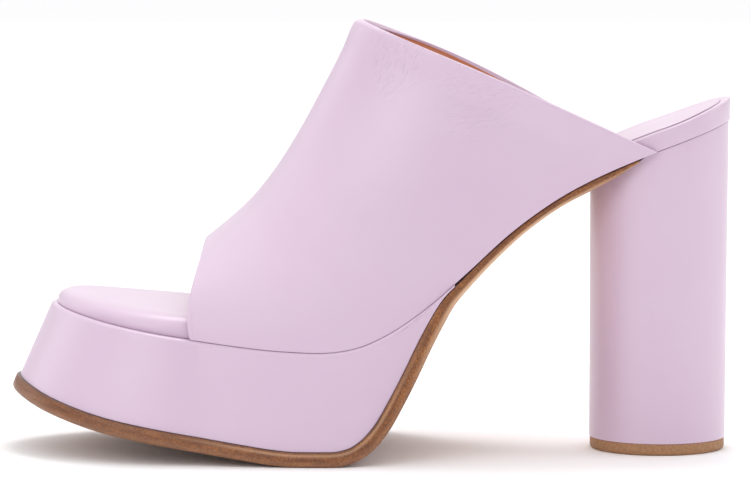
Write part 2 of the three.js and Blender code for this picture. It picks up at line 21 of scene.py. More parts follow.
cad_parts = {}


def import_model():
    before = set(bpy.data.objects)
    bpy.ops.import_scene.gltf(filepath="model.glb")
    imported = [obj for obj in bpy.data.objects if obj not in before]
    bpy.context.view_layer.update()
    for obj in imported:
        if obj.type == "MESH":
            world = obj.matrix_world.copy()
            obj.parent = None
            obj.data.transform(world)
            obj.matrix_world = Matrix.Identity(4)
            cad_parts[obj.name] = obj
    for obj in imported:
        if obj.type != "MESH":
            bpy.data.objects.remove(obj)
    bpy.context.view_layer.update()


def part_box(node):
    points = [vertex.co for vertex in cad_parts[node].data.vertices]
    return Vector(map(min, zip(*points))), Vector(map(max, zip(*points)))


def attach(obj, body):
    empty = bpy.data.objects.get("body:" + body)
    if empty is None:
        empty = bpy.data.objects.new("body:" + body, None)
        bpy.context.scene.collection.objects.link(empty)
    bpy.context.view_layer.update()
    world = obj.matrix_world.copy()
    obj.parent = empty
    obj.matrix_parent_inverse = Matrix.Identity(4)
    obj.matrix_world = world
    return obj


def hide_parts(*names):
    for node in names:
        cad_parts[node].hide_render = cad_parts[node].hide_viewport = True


LOG = logging.getLogger("mule")
MM = 0.001  # a millimetre, in metres
MERGE = 2e-6  # vertices this near to each other, in metres, are one
SHARP = math.radians(38)  # edges that turn by more stay sharp
SLOPE_STEP = 0.8  # half the run over which a curve's slope is taken
PACE_SAMPLES = 300  # points that measure the length of a curve
TAPS = (-1.0, -0.66, -0.33, 0.0, 0.33, 0.66, 1.0)  # where softening reads, as shares of its reach
TAP_WEIGHTS = (1, 2, 3, 4, 3, 2, 1)  # how much each of them counts
SEARCH_STEP = 0.02  # how closely the platform's rear edge is found
COAT_ROUGHNESS = 0.35
SHEEN_ROUGHNESS = 0.5
PATCH_CORE = 0.45  # share of a patch's reach where it is at its strongest
CREST_SCALE = 6.75  # brings the greatest value of up * up * (1 - up) to 1
BOW_SCALE = 4  # the same for up * (1 - up)

Colour = tuple[float, float, float]


def mix(a: float, b: float, share: float) -> float:
    """The value at a share of the way from a to b."""
    return a + (b - a) * share


def clamp01(value: float) -> float:
    """The value held between 0 and 1."""
    return min(1.0, max(0.0, value))


def smooth(share: float) -> float:
    """A share from 0 to 1 that starts and ends level."""
    held = clamp01(share)
    return held * held * (3 - 2 * held)


class Spot(NamedTuple):
    """A place in side view: level run and height."""

    x: float
    z: float


class Curve:
    """A smooth curve through points of rising run that never swings past them."""

    def __init__(self, xs: Sequence[float], ys: Sequence[float]) -> None:
        """Fits the curve.

        Args:
            xs: rising level runs.
            ys: the value at each of them.
        """
        self.xs, self.ys = list(xs), list(ys)
        spans = list(zip(zip(self.xs, self.xs[1:]), zip(self.ys, self.ys[1:])))
        chords = [(y1 - y0) / (x1 - x0) for (x0, x1), (y0, y1) in spans]
        bends = [0.0 if a * b <= 0 else 2 * a * b / (a + b) for a, b in zip(chords, chords[1:])]
        self.slopes = [chords[0], *bends, chords[-1]]

    def __call__(self, x: float) -> float:
        """The value at a level run, straight beyond the ends.

        Args:
            x: the level run.

        Returns:
            The value.
        """
        xs, ys, slopes = self.xs, self.ys, self.slopes
        if x <= xs[0]:
            return ys[0] + slopes[0] * (x - xs[0])
        if x >= xs[-1]:
            return ys[-1] + slopes[-1] * (x - xs[-1])
        i = bisect_right(xs, x) - 1
        width, rise = xs[i + 1] - xs[i], ys[i + 1] - ys[i]
        t = (x - xs[i]) / width
        lead = slopes[i] * width - rise
        trail = rise - slopes[i + 1] * width
        return ys[i] + rise * t + t * (1 - t) * (lead * (1 - t) + trail * t)

    def softened(self, reach: float, steps: int = 160) -> "Curve":
        """The curve with its bends spread out.

        Args:
            reach: how far they spread on each side.
            steps: steps of the new curve.

        Returns:
            The softened curve.
        """
        total = sum(TAP_WEIGHTS)
        runs = [mix(self.xs[0], self.xs[-1], i / steps) for i in range(steps + 1)]
        values = [
            sum(w * self(x + reach * t) for w, t in zip(TAP_WEIGHTS, TAPS)) / total
            for x in runs
        ]
        return Curve(runs, values)

    def square(self, x: float, up: float) -> Spot:
        """The place at a height over the curve, measured square to it.

        Args:
            x: level run of the foot of the height.
            up: the height.

        Returns:
            The place in side view.
        """
        slope = (self(x + SLOPE_STEP) - self(x - SLOPE_STEP)) / (2 * SLOPE_STEP)
        scale = 1 / math.hypot(1, slope)
        return Spot(x - slope * scale * up, self(x) + scale * up)

    def paced(self, start: float, end: float) -> tuple[float, "Curve"]:
        """Paces the curve out.

        Args:
            start: level run where it begins.
            end: level run where it ends.

        Returns:
            Its length, and the level run at each share of that length.
        """
        runs = [mix(start, end, i / PACE_SAMPLES) for i in range(PACE_SAMPLES + 1)]
        lengths = [0.0]
        for a, b in zip(runs, runs[1:]):
            lengths.append(lengths[-1] + math.hypot(b - a, self(b) - self(a)))
        return lengths[-1], Curve([length / lengths[-1] for length in lengths], runs)


class BedRow(NamedTuple):
    """Footbed in side view: shares of its length, of the toe rise and of the climb."""

    along: float
    toe: float
    climb: float


class PlanRow(NamedTuple):
    """Footbed from above: half-widths as shares of ball and seat width, and flare."""

    along: float
    lateral: float
    medial: float
    seat: float
    flare: float


class SkiveRow(NamedTuple):
    """Outsole thickness as a share of its full thickness."""

    along: float
    thick: float


class RidgeRow(NamedTuple):
    """Ridge of the upper: run and rise as shares of the way to its top."""

    run: float
    rise: float


class SectionRow(NamedTuple):
    """Cross-section of the upper: crown squares it off, swell widens it, ridge shifts its top."""

    at: float
    crown: float
    swell: float
    ridge: float


BED = (
    BedRow(0.0, 1.0, 0.0),
    BedRow(0.1, 0.62, 0.0),
    BedRow(0.22, 0.27, 0.0),
    BedRow(0.33, 0.04, 0.0),
    BedRow(0.385, 0.0, 0.0),
    BedRow(0.43, 0.0, 0.015),
    BedRow(0.478, 0.0, 0.071),
    BedRow(0.537, 0.0, 0.182),
    BedRow(0.597, 0.0, 0.331),
    BedRow(0.667, 0.0, 0.52),
    BedRow(0.747, 0.0, 0.685),
    BedRow(0.857, 0.0, 0.841),
    BedRow(1.0, 0.0, 1.0),
)
PLAN = (
    PlanRow(0.2, 0.467, 0.449, 0.0, 1.0),
    PlanRow(0.27, 0.498, 0.479, 0.0, 1.0),
    PlanRow(0.33, 0.514, 0.486, 0.0, 1.0),
    PlanRow(0.39, 0.52, 0.463, 0.0, 1.0),
    PlanRow(0.45, 0.501, 0.419, 0.0, 0.97),
    PlanRow(0.5, 0.463, 0.369, 0.0, 0.88),
    PlanRow(0.56, 0.342, 0.261, 0.1, 0.6),
    PlanRow(0.62, 0.226, 0.16, 0.22, 0.2),
    PlanRow(0.7, 0.119, 0.075, 0.34, 0.0),
    PlanRow(0.8, 0.036, 0.02, 0.43, 0.0),
    PlanRow(0.89, 0.0, 0.0, 0.5, 0.0),
    PlanRow(1.0, 0.0, 0.0, 0.5, 0.0),
)
TREAD = (
    BedRow(-0.02, 0.753, 0.0),
    BedRow(0.063, 0.495, 0.0),
    BedRow(0.134, 0.348, 0.0),
    BedRow(0.206, 0.215, 0.0),
    BedRow(0.268, 0.106, 0.0),
    BedRow(0.313, 0.032, 0.0),
    BedRow(0.349, 0.0, 0.0),
    BedRow(0.403, 0.0, 0.0),
    BedRow(0.43, 0.0, 0.02),
    BedRow(0.456, 0.0, 0.079),
    BedRow(0.4825, 0.0, 0.196),
    BedRow(0.5045, 0.0, 0.348),
    BedRow(0.5265, 0.0, 0.518),
    BedRow(0.547, 0.0, 0.691),
    BedRow(0.568, 0.0, 0.85),
    BedRow(0.58, 0.0, 0.936),
)
SHANK = (0.61, 0.64, 0.68, 0.73, 0.78, 0.81, 0.83, 0.845, 0.862, 0.9)
SKIVE = (
    SkiveRow(0.5, 1.0),
    SkiveRow(0.56, 0.95),
    SkiveRow(0.61, 0.68),
    SkiveRow(0.72, 0.52),
    SkiveRow(0.79, 0.57),
    SkiveRow(0.83, 0.34),
    SkiveRow(0.862, 0.06),
    SkiveRow(0.95, 0.05),
)
RIDGE = (
    RidgeRow(0.0, 0.0),
    RidgeRow(0.145, 0.085),
    RidgeRow(0.295, 0.185),
    RidgeRow(0.445, 0.32),
    RidgeRow(0.595, 0.492),
    RidgeRow(0.745, 0.692),
    RidgeRow(0.865, 0.865),
    RidgeRow(0.93, 0.975),
    RidgeRow(0.955, 0.996),
    RidgeRow(1.0, 1.0),
)
SECTIONS = (
    SectionRow(0.0, 2.3, 0.0, 0.03),
    SectionRow(0.3, 2.15, 0.0, 0.055),
    SectionRow(0.65, 2.4, 0.1, 0.055),
    SectionRow(0.85, 2.8, 0.26, 0.035),
    SectionRow(1.0, 3.1, 0.42, 0.015),
)


def column(rows: Sequence[NamedTuple], key: str, name: str) -> Curve:
    """One column of a table as a curve over another."""
    return Curve([getattr(row, key) for row in rows], [getattr(row, name) for row in rows])


@dataclass(frozen=True)
class Outline:
    """A piece's outline from above: its ends, how round they are, and its margin."""

    start: float
    end: float
    toe_run: float
    seat_run: float
    margin: Callable[[float], float]

    def stations(self, curve: Curve, pitch: float, round_steps: int) -> list[float]:
        """Level runs along the outline, close together where an end is round.

        Args:
            curve: the curve that the piece follows.
            pitch: distance between stations along it.
            round_steps: stations in a rounded end.

        Returns:
            The level runs, toe first.
        """
        quarter = [i / round_steps * math.pi / 2 for i in range(round_steps + 1)]
        front, back = self.start + self.toe_run, self.end - self.seat_run
        runs = []
        if self.toe_run > 0:
            runs += [self.start + self.toe_run * (1 - math.cos(a)) for a in quarter[:-1]]
        length, run_at = curve.paced(front, back)
        steps = max(2, round(length / pitch))
        runs += [run_at(i / steps) for i in range(steps + 1)]
        if self.seat_run > 0:
            runs += [back + self.seat_run * math.sin(a) for a in quarter[1:]]
        return runs


def end_width(distance: float, run: float) -> float:
    """Width of a rounded end as a share of the full width, at a distance from the end."""
    share = clamp01(distance / run) if run > 0 else 1.0
    return math.sqrt(1 - (1 - share) ** 2)


@dataclass(frozen=True)
class Last:
    """The last and the soles built on it: sizes, curves in side view, and outlines."""

    footbed_length: float = 224.9
    ball_width: float = 84.0
    seat_width: float = 47.2
    toe_offset: float = 5.0
    toe_run: float = 45.0
    platform_height: float = 37.2
    toe_rise: float = 11.2
    seat_height: float = 111.5
    sole_thickness: float = 5.0
    toe_spring: float = 19.9
    toe_flare: float = 16.0
    side_flare: float = 3.2
    platform_toe_run: float = 62.0
    welt: float = 1.0
    shank_margin: float = 2.0
    sole_tail_run: float = 33.0
    arch_break: float = 0.581
    upper_fit: float = 0.5
    upper_wall: float = 1.9
    seam_step: float = 0.8
    sock_inset: float = 3.2
    sock_length: float = 86.5
    seat_overhang: float = 1.3
    gap: float = 0.35
    softening: float = 4.0
    plan_softening: float = 0.015

    @cached_property
    def bed(self) -> Curve:
        """Underside of the footbed.

        Returns:
            Its height at a level run.
        """
        climb = self.seat_height - self.platform_height
        return Curve(
            [row.along * self.footbed_length for row in BED],
            [self.platform_height + self.toe_rise * row.toe + climb * row.climb for row in BED],
        ).softened(self.softening)

    @cached_property
    def skive(self) -> Curve:
        """Thickness of the outsole, as a share."""
        return column(SKIVE, "along", "thick")

    def sole_thick(self, x: float) -> float:
        """Thickness of the outsole at a level run."""
        return self.sole_thickness * min(1.0, self.skive(x / self.footbed_length))

    def under_shank(self, share: float) -> Spot:
        """Underside of the outsole where it lies along the footbed."""
        x = share * self.footbed_length
        return self.bed.square(x, -(self.gap / 2 + self.sole_thick(x)))

    @cached_property
    def tread(self) -> Curve:
        """Underside of the outsole.

        Returns:
            Its height at a level run.
        """
        turn = self.under_shank(self.arch_break)
        spots = [Spot(-self.toe_flare - self.welt, self.toe_spring)]
        for row in TREAD:
            height = self.toe_spring * row.toe + turn.z * row.climb
            spots.append(Spot(row.along * self.footbed_length, height))
        spots += [turn, *(self.under_shank(share) for share in SHANK)]
        return Curve([s.x for s in spots], [s.z for s in spots]).softened(self.softening / 2)

    @cached_property
    def plan(self) -> dict[str, Curve]:
        """Half-widths and flare along the footbed."""
        names = ("lateral", "medial", "seat", "flare")
        return {n: column(PLAN, "along", n).softened(self.plan_softening) for n in names}

    @cached_property
    def ledge(self) -> float:
        """How far the platform's top stands out from the footbed board."""
        return self.upper_fit + self.upper_wall + self.seam_step

    @property
    def heel_axis(self) -> float:
        """Level run of the heel's axis."""
        return self.footbed_length - self.seat_width / 2 - self.seat_overhang

    def outline(self, start: float, toe_run: float, margin: Callable[[float], float]) -> Outline:
        """An outline with a round toe that is open at the back."""
        return Outline(start, self.footbed_length, toe_run, 0.0, margin)

    def sides(self, outline: Outline, x: float, inset: float = 0.0) -> tuple[float, float]:
        """Where an outline's two sides lie.

        Args:
            outline: the outline.
            x: level run.
            inset: how far each side is drawn in.

        Returns:
            The lateral and the medial side, as places across the shoe.
        """
        share = min(1.0, max(PLAN[0].along, x / self.footbed_length))
        toe = end_width(x - outline.start, outline.toe_run)
        reach = toe * end_width(outline.end - x, outline.seat_run)
        base = self.seat_width * self.plan["seat"](share) + outline.margin(share) - inset
        middle = self.toe_offset * (1 - toe)
        lateral = (self.ball_width * self.plan["lateral"](share) + base) * reach
        medial = (self.ball_width * self.plan["medial"](share) + base) * reach
        return middle - lateral, middle + medial


@dataclass(frozen=True)
class Bench:
    """Where the last stands in the frame."""

    toe: Vector

    @classmethod
    def under(cls, last: Last) -> "Bench":
        """The bench that puts the last's heel axis on the CAD heel's.

        Args:
            last: the last.

        Returns:
            The bench.
        """
        low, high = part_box("heel")
        centre = (low + high) / 2
        return cls(Vector((centre.x - last.heel_axis * MM, centre.y, 0.0)))

    def at(self, x: float, y: float, z: float) -> Vector:
        """A place of the last, in the frame and in metres."""
        return self.toe + Vector((x, y, z)) * MM


Place = Callable[[int, int], Vector]
Region = Callable[[float, float], int]
Mark = Callable[[int, int], float]


def loft(
    rows: int,
    columns: int,
    place: Place,
    region: Region = lambda row, column: 0,
    mark: Mark = lambda row, column: 0.0,
) -> bmesh.types.BMesh:
    """Bends a grid into a closed form and closes its seams, poles and blunt ends.

    Args:
        rows: steps along the piece.
        columns: steps round it; the last column lies on the first.
        place: where the grid's point of a row and column goes.
        region: the finish of the face around a row and column.
        mark: a value kept at each point, which its finish may read.

    Returns:
        The mesh, facing outwards.
    """
    bm = bmesh.new()
    bmesh.ops.create_grid(bm, x_segments=rows, y_segments=columns, size=0.5)
    kept = bm.verts.layers.float.new("rim")
    for face in bm.faces:
        centre = face.calc_center_median()
        face.material_index = region((centre.x + 0.5) * rows, (centre.y + 0.5) * columns)
    for vert in bm.verts:
        row = round((vert.co.x + 0.5) * rows)
        around = round((vert.co.y + 0.5) * columns) % columns
        vert[kept] = mark(row, around)
        vert.co = place(row, around)
    close(bm)
    return bm


def close(bm: bmesh.types.BMesh) -> None:
    """Merges what lies together, fills open ends and turns the faces outwards.

    Args:
        bm: the mesh, which is changed.
    """
    bmesh.ops.remove_doubles(bm, verts=bm.verts, dist=MERGE)
    bmesh.ops.dissolve_degenerate(bm, dist=MERGE, edges=bm.edges)
    bmesh.ops.holes_fill(bm, edges=[e for e in bm.edges if e.is_boundary], sides=0)
    bmesh.ops.recalc_face_normals(bm, faces=bm.faces)
    for face in bm.faces:
        face.smooth = True
    for edge in bm.edges:
        edge.smooth = not (edge.is_manifold and edge.calc_face_angle() > SHARP)


def turned(profile: Sequence[Spot], steps: int) -> bmesh.types.BMesh:
    """Spins a profile of radius and height round the upright axis.

    Args:
        profile: the profile, from the middle of the foot to the middle of the top.
        steps: steps round the axis.

    Returns:
        The mesh, in the profile's own units.
    """
    bm = bmesh.new()
    verts = [bm.verts.new((spot.x, 0.0, spot.z)) for spot in profile]
    edges = [bm.edges.new(pair) for pair in zip(verts, verts[1:])]
    bmesh.ops.spin(
        bm,
        geom=verts + edges,
        cent=(0.0, 0.0, 0.0),
        axis=(0.0, 0.0, 1.0),
        angle=math.tau,
        steps=steps,
        use_merge=True,
    )
    return bm


def from_screen(red: int, green: int, blue: int) -> Colour:
    """A colour as it shows on a screen, as linear light.

    Args:
        red: its red, from 0 to 255.
        green: its green.
        blue: its blue.

    Returns:
        The colour.
    """

    def linear(value: int) -> float:
        """One channel as linear light."""
        share = value / 255
        return share / 12.92 if share <= 0.04045 else ((share + 0.055) / 1.055) ** 2.4

    return linear(red), linear(green), linear(blue)


class Shader:
    """A material's nodes in the making, around one Principled shader."""

    def __init__(self, name: str) -> None:
        """Starts a material.

        Args:
            name: its name.
        """
        self.material = bpy.data.materials.new(name)
        self.material.use_nodes = True
        self.tree = self.material.node_tree
        self.tree.nodes.clear()
        self.surface = self.node("ShaderNodeBsdfPrincipled")
        output = self.node("ShaderNodeOutputMaterial")
        self.link(self.surface.outputs["BSDF"], output.inputs["Surface"])
        self.where = self.node("ShaderNodeTexCoord").outputs["Object"]

    def node(self, kind: str, **inputs: float) -> bpy.types.Node:
        """Adds a node.

        Args:
            kind: Blender's name for it.
            **inputs: values of its inputs, with _ for a space in their names.

        Returns:
            The node.
        """
        made = self.tree.nodes.new(kind)
        for name, value in inputs.items():
            made.inputs[name.replace("_", " ")].default_value = value
        return made

    def link(self, source: bpy.types.NodeSocket, target: bpy.types.NodeSocket) -> None:
        """Joins two sockets."""
        self.tree.links.new(source, target)

    def noise(
        self,
        size: float,
        detail: float,
        roughness: float = 0.5,
        where: bpy.types.NodeSocket | None = None,
    ) -> bpy.types.NodeSocket:
        """Soft noise.

        Args:
            size: size of its lumps, in millimetres.
            detail: how many finer layers it has.
            roughness: how strong they are.
            where: coordinates to read instead of the object's own.

        Returns:
            The noise, from 0 to 1.
        """
        made = self.node("ShaderNodeTexNoise", Scale=1 / (size * MM), Detail=detail)
        made.inputs["Roughness"].default_value = roughness
        self.link(self.where if where is None else where, made.inputs["Vector"])
        return made.outputs["Fac"]

    def turned(
        self, tilt: float, stretch: tuple[float, float, float]
    ) -> bpy.types.NodeSocket:
        """The object's coordinates, tilted in side view and then stretched.

        Args:
            tilt: the tilt, in degrees.
            stretch: how much longer a pattern becomes along each axis.

        Returns:
            The coordinates.
        """
        tilted = self.node("ShaderNodeVectorRotate", Angle=math.radians(tilt))
        tilted.rotation_type = "Y_AXIS"
        self.link(self.where, tilted.inputs["Vector"])
        made = self.node("ShaderNodeMapping")
        made.inputs["Scale"].default_value = [1 / share for share in stretch]
        self.link(tilted.outputs["Vector"], made.inputs["Vector"])
        return made.outputs["Vector"]

    def near(self, place: tuple[float, float, float], reach: float) -> bpy.types.NodeSocket:
        """A patch that fades out round a place.

        Args:
            place: its middle, in millimetres of the frame.
            reach: how far it reaches, in millimetres.

        Returns:
            1 in the patch, fading to 0 at its reach.
        """
        made = self.node("ShaderNodeVectorMath")
        made.operation = "DISTANCE"
        self.link(self.where, made.inputs[0])
        made.inputs[1].default_value = [value * MM for value in place]
        solid = reach * PATCH_CORE * MM
        return self.levels(made.outputs["Value"], solid, reach * MM, 1.0, 0.0)

    def fibres(self, length: float, layers: float) -> bpy.types.NodeSocket:
        """Coordinates for streaks that run along an edge.

        Args:
            length: length of a streak, in millimetres.
            layers: layers of streaks over the edge's height.

        Returns:
            The coordinates, for noise with lumps of a millimetre.
        """
        axes = self.node("ShaderNodeSeparateXYZ")
        self.link(self.where, axes.inputs["Vector"])
        made = self.node("ShaderNodeCombineXYZ")
        for source, axis, scale in (
            (axes.outputs["X"], "X", 1 / length),
            (self.rim(), "Y", layers * MM),
            (axes.outputs["Z"], "Z", 1 / length),
        ):
            self.link(self.levels(source, -1.0, 1.0, -scale, scale), made.inputs[axis])
        return made.outputs["Vector"]

    def cells(self, size: float) -> bpy.types.NodeSocket:
        """Round cells.

        Args:
            size: their size, in millimetres.

        Returns:
            Distance to the middle of the nearest cell.
        """
        made = self.node("ShaderNodeTexVoronoi", Scale=1 / (size * MM))
        self.link(self.where, made.inputs["Vector"])
        return made.outputs["Distance"]

    def rim(self) -> bpy.types.NodeSocket:
        """The value that the mesh keeps at each point.

        Returns:
            The value.
        """
        made = self.node("ShaderNodeAttribute")
        made.attribute_name = "rim"
        return made.outputs["Fac"]

    def run(self) -> bpy.types.NodeSocket:
        """Place along the shoe.

        Returns:
            The place, in metres of the frame.
        """
        made = self.node("ShaderNodeSeparateXYZ")
        self.link(self.where, made.inputs["Vector"])
        return made.outputs["X"]

    def levels(
        self, source: bpy.types.NodeSocket, low: float, high: float, start: float, end: float
    ) -> bpy.types.NodeSocket:
        """Stretches a value to new limits and holds it there.

        Args:
            source: the value.
            low: where it begins to count.
            high: where it ends.
            start: the result at low.
            end: the result at high.

        Returns:
            The stretched value.
        """
        made = self.node(
            "ShaderNodeMapRange", From_Min=low, From_Max=high, To_Min=start, To_Max=end
        )
        self.link(source, made.inputs["Value"])
        return made.outputs["Result"]

    def product(
        self, first: bpy.types.NodeSocket, second: bpy.types.NodeSocket
    ) -> bpy.types.NodeSocket:
        """Multiplies two values.

        Args:
            first: the one.
            second: the other.

        Returns:
            Their product.
        """
        made = self.node("ShaderNodeMath")
        made.operation = "MULTIPLY"
        self.link(first, made.inputs[0])
        self.link(second, made.inputs[1])
        return made.outputs["Value"]

    def blend(
        self,
        share: bpy.types.NodeSocket,
        first: Colour | bpy.types.NodeSocket,
        second: Colour | bpy.types.NodeSocket,
    ) -> bpy.types.NodeSocket:
        """A colour between two others.

        Args:
            share: how much of the second there is.
            first: the colour at 0.
            second: the colour at 1.

        Returns:
            The blended colour.
        """
        made = self.node("ShaderNodeMix")
        made.data_type = "RGBA"
        self.link(share, made.inputs[0])
        for socket, colour in ((made.inputs[6], first), (made.inputs[7], second)):
            if isinstance(colour, tuple):
                socket.default_value = (*colour, 1.0)
            else:
                self.link(colour, socket)
        return made.outputs[2]

    def bump(
        self,
        height: bpy.types.NodeSocket,
        depth: float,
        below: bpy.types.NodeSocket | None = None,
    ) -> bpy.types.NodeSocket:
        """A normal roughened by a height.

        Args:
            height: the height, from 0 to 1.
            depth: what a height of 1 measures, in millimetres.
            below: a normal to roughen further.

        Returns:
            The new normal.
        """
        made = self.node("ShaderNodeBump", Strength=1.0, Distance=depth * MM)
        self.link(height, made.inputs["Height"])
        if below is not None:
            self.link(below, made.inputs["Normal"])
        return made.outputs["Normal"]

    def dress(
        self,
        colour: bpy.types.NodeSocket,
        roughness: bpy.types.NodeSocket,
        normal: bpy.types.NodeSocket,
        coat: float,
        sheen: float,
    ) -> bpy.types.Material:
        """Joins a finish to the shader.

        Args:
            colour: its colour.
            roughness: how matt it is.
            normal: its normal.
            coat: weight of the polish on it.
            sheen: weight of its nap.

        Returns:
            The finished material.
        """
        self.link(colour, self.surface.inputs["Base Color"])
        self.link(roughness, self.surface.inputs["Roughness"])
        self.link(normal, self.surface.inputs["Normal"])
        self.surface.inputs["Coat Weight"].default_value = coat
        self.surface.inputs["Coat Roughness"].default_value = COAT_ROUGHNESS
        self.surface.inputs["Sheen Weight"].default_value = sheen
        self.surface.inputs["Sheen Roughness"].default_value = SHEEN_ROUGHNESS
        return self.material


class Finish(Protocol):
    """What a piece is dressed in."""

    name: str

    def material(self) -> bpy.types.Material:
        """The finish as a material."""


class Span(NamedTuple):
    """Where a change in a finish begins, and where it ends."""

    low: float
    high: float


@dataclass(frozen=True)
class FlexZone:
    """A patch of fine wrinkles where the leather has flexed.

    Its place is in millimetres of the frame, its wrinkles slant by a tilt in degrees.
    """

    place: tuple[float, float, float]
    reach: float
    tilt: float
    depth: float
    width: float = 0.9
    stretch: tuple[float, float, float] = (6.0, 1.0, 1.0)
    lines: Span = Span(0.52, 0.68)

    def wrinkles(self, shader: Shader) -> bpy.types.NodeSocket:
        """Draws the wrinkles.

        Args:
            shader: the material in the making.

        Returns:
            Their height, from 0 to 1.
        """
        lines = shader.noise(self.width, 2, 0.4, shader.turned(self.tilt, self.stretch))
        raised = shader.levels(lines, *self.lines, 0.0, 1.0)
        return shader.product(raised, shader.near(self.place, self.reach))


@dataclass(frozen=True)
class LeatherFinish:
    """Smooth calf leather: its dye, clouding, grain, gloss and flexed patches."""

    name: str
    colour: Colour
    cloud: Colour
    roughness: float = 0.46
    matter: float = 0.06
    glossier: float = 0.04
    cloud_size: float = 38.0
    patch_size: float = 9.0
    crepe_size: float = 5.5
    crepe: float = 0.03
    pore_size: float = 0.55
    grain: float = 0.012
    coat: float = 0.75
    sheen: float = 0.1
    flexed: tuple[FlexZone, ...] = ()

    def material(self) -> bpy.types.Material:
        """Makes the leather.

        Returns:
            The material.
        """
        shader = Shader(self.name)
        clouding = shader.levels(shader.noise(self.cloud_size, 3), 0.35, 0.7, 0.0, 0.6)
        colour = shader.blend(clouding, self.colour, self.cloud)
        patches = shader.noise(self.patch_size, 4, 0.6)
        glossy, matt = self.roughness - self.glossier, self.roughness + self.matter
        roughness = shader.levels(patches, 0.3, 0.7, glossy, matt)
        normal = shader.bump(shader.noise(self.crepe_size, 4, 0.55), self.crepe)
        for zone in self.flexed:
            normal = shader.bump(zone.wrinkles(shader), zone.depth, normal)
        pores = shader.bump(shader.cells(self.pore_size), self.grain, normal)
        return shader.dress(colour, roughness, pores, self.coat, self.sheen)


@dataclass(frozen=True)
class SoleFinish:
    """Brown sole leather: layered fibres, painted seam shade above, a painted highlight stripe,
    and a pale tan below that is the bare underside's colour and a painted highlight on the bevel.

    Spans named a run lie along the shoe, in metres of the frame. Spans named a band lie up the
    edge, from 0 at its foot to 1 at its top.
    """

    name: str
    colour: Colour
    streak: Colour
    # painted shade of the seam, along the top of the edge
    seam: Colour
    # pale tan: painted highlight on the lower bevel, and the bare underside's own tan
    bevel: Colour
    roughness: float = 0.42
    matter: float = 0.12
    glossier: float = 0.08
    coat: float = 0.15
    streak_length: float = 9.0
    streak_layers: float = 3.5
    streak_depth: float = 0.06
    speckle_size: float = 0.55
    grain_size: float = 0.45
    grain_depth: float = 0.04
    dark_toe_run: Span = Span(-0.11, -0.02)
    # where the pale tan goes: painted highlight on the lower bevel, and the bare underside
    bevel_highlight_start_run: Span = Span(0.012, 0.03)
    bevel_highlight_end_run: Span = Span(0.05, 0.08)
    bevel_highlight_band: Span = Span(0.18, 0.45)
    # where the painted highlight stripe lies along the ball and up the edge
    glint_start_run: Span = Span(-0.075, -0.035)
    glint_end_run: Span = Span(0.0, 0.02)
    glint_low_band: Span = Span(0.62, 0.78)
    glint_high_band: Span = Span(0.8, 0.9)
    # where the painted seam shade lies, at the top of the edge
    seam_shade_band: Span = Span(0.92, 0.99)

    def underside_and_bevel_highlight(self, shader: Shader) -> bpy.types.NodeSocket:
        """Finds the pale tan of the bare underside, and the painted highlight on its lower bevel.

        Args:
            shader: the material in the making.

        Returns:
            How much of the pale tan there is, from 0 to 1.
        """
        low = shader.levels(shader.rim(), *self.bevel_highlight_band, 1.0, 0.0)
        start = shader.levels(shader.run(), *self.bevel_highlight_start_run, 0.12, 1.0)
        end = shader.levels(shader.run(), *self.bevel_highlight_end_run, 1.0, 0.4)
        return shader.product(low, shader.product(start, end))

    def painted_glint(self, shader: Shader) -> bpy.types.NodeSocket:
        """Finds the painted highlight stripe near the top of the edge along the ball.

        Args:
            shader: the material in the making.

        Returns:
            How bright the painted highlight is, from 0 to 1.
        """
        rim = shader.rim()
        shoulder = shader.levels(rim, *self.glint_low_band, 0.0, 0.4)
        stripe = shader.product(shoulder, shader.levels(rim, *self.glint_high_band, 1.0, 0.0))
        ball = shader.product(
            shader.levels(shader.run(), *self.glint_start_run, 0.0, 1.0),
            shader.levels(shader.run(), *self.glint_end_run, 1.0, 0.0),
        )
        return shader.product(stripe, ball)

    def material(self) -> bpy.types.Material:
        """Makes the sole leather.

        Returns:
            The material.
        """
        shader = Shader(self.name)
        along_edge = shader.fibres(self.streak_length, self.streak_layers)
        fibres = shader.noise(1.0, 5, 0.65, along_edge)
        streaks = shader.levels(fibres, 0.38, 0.62, 0.0, 0.7)
        speckle = shader.levels(shader.noise(self.speckle_size, 3, 0.7), 0.44, 0.58, 0.0, 0.8)
        layered = shader.blend(streaks, self.colour, self.streak)
        body = shader.blend(speckle, layered, self.streak)
        toe = shader.levels(shader.run(), *self.dark_toe_run, 0.4, 0.0)
        darkened = shader.blend(toe, body, self.streak)
        # pale tan: painted highlight on the lower bevel, and the bare underside's own tan
        underside_and_bevel_highlight = shader.blend(self.underside_and_bevel_highlight(shader), darkened, self.bevel)
        # painted highlight stripe near the top of the edge at the ball
        glinted = shader.blend(self.painted_glint(shader), underside_and_bevel_highlight, self.bevel)
        # painted shade of the seam under the platform, at the top of the edge
        seam_shade = shader.levels(shader.rim(), *self.seam_shade_band, 0.0, 0.9)
        colour = shader.blend(seam_shade, glinted, self.seam)
        glossy, matt = self.roughness - self.glossier, self.roughness + self.matter
        roughness = shader.levels(fibres, 0.3, 0.7, glossy, matt)
        grainy = shader.bump(shader.noise(self.grain_size, 4, 0.7), self.grain_depth)
        normal = shader.bump(streaks, self.streak_depth, grainy)
        return shader.dress(colour, roughness, normal, self.coat, 0.0)


@dataclass(frozen=True)
class RubberFinish:
    """Matte rubber with a fine speckle."""

    name: str
    colour: Colour
    speckle: Colour
    roughness: float = 0.6
    matter: float = 0.1
    speckle_size: float = 0.9
    speckle_depth: float = 0.02

    def material(self) -> bpy.types.Material:
        """Makes the rubber.

        Returns:
            The material.
        """
        shader = Shader(self.name)
        grains = shader.levels(shader.noise(self.speckle_size, 5, 0.7), 0.42, 0.6, 0.0, 1.0)
        colour = shader.blend(grains, self.colour, self.speckle)
        roughness = shader.levels(grains, 0.0, 1.0, self.roughness, self.roughness + self.matter)
        normal = shader.bump(grains, self.speckle_depth)
        return shader.dress(colour, roughness, normal, 0.0, 0.0)


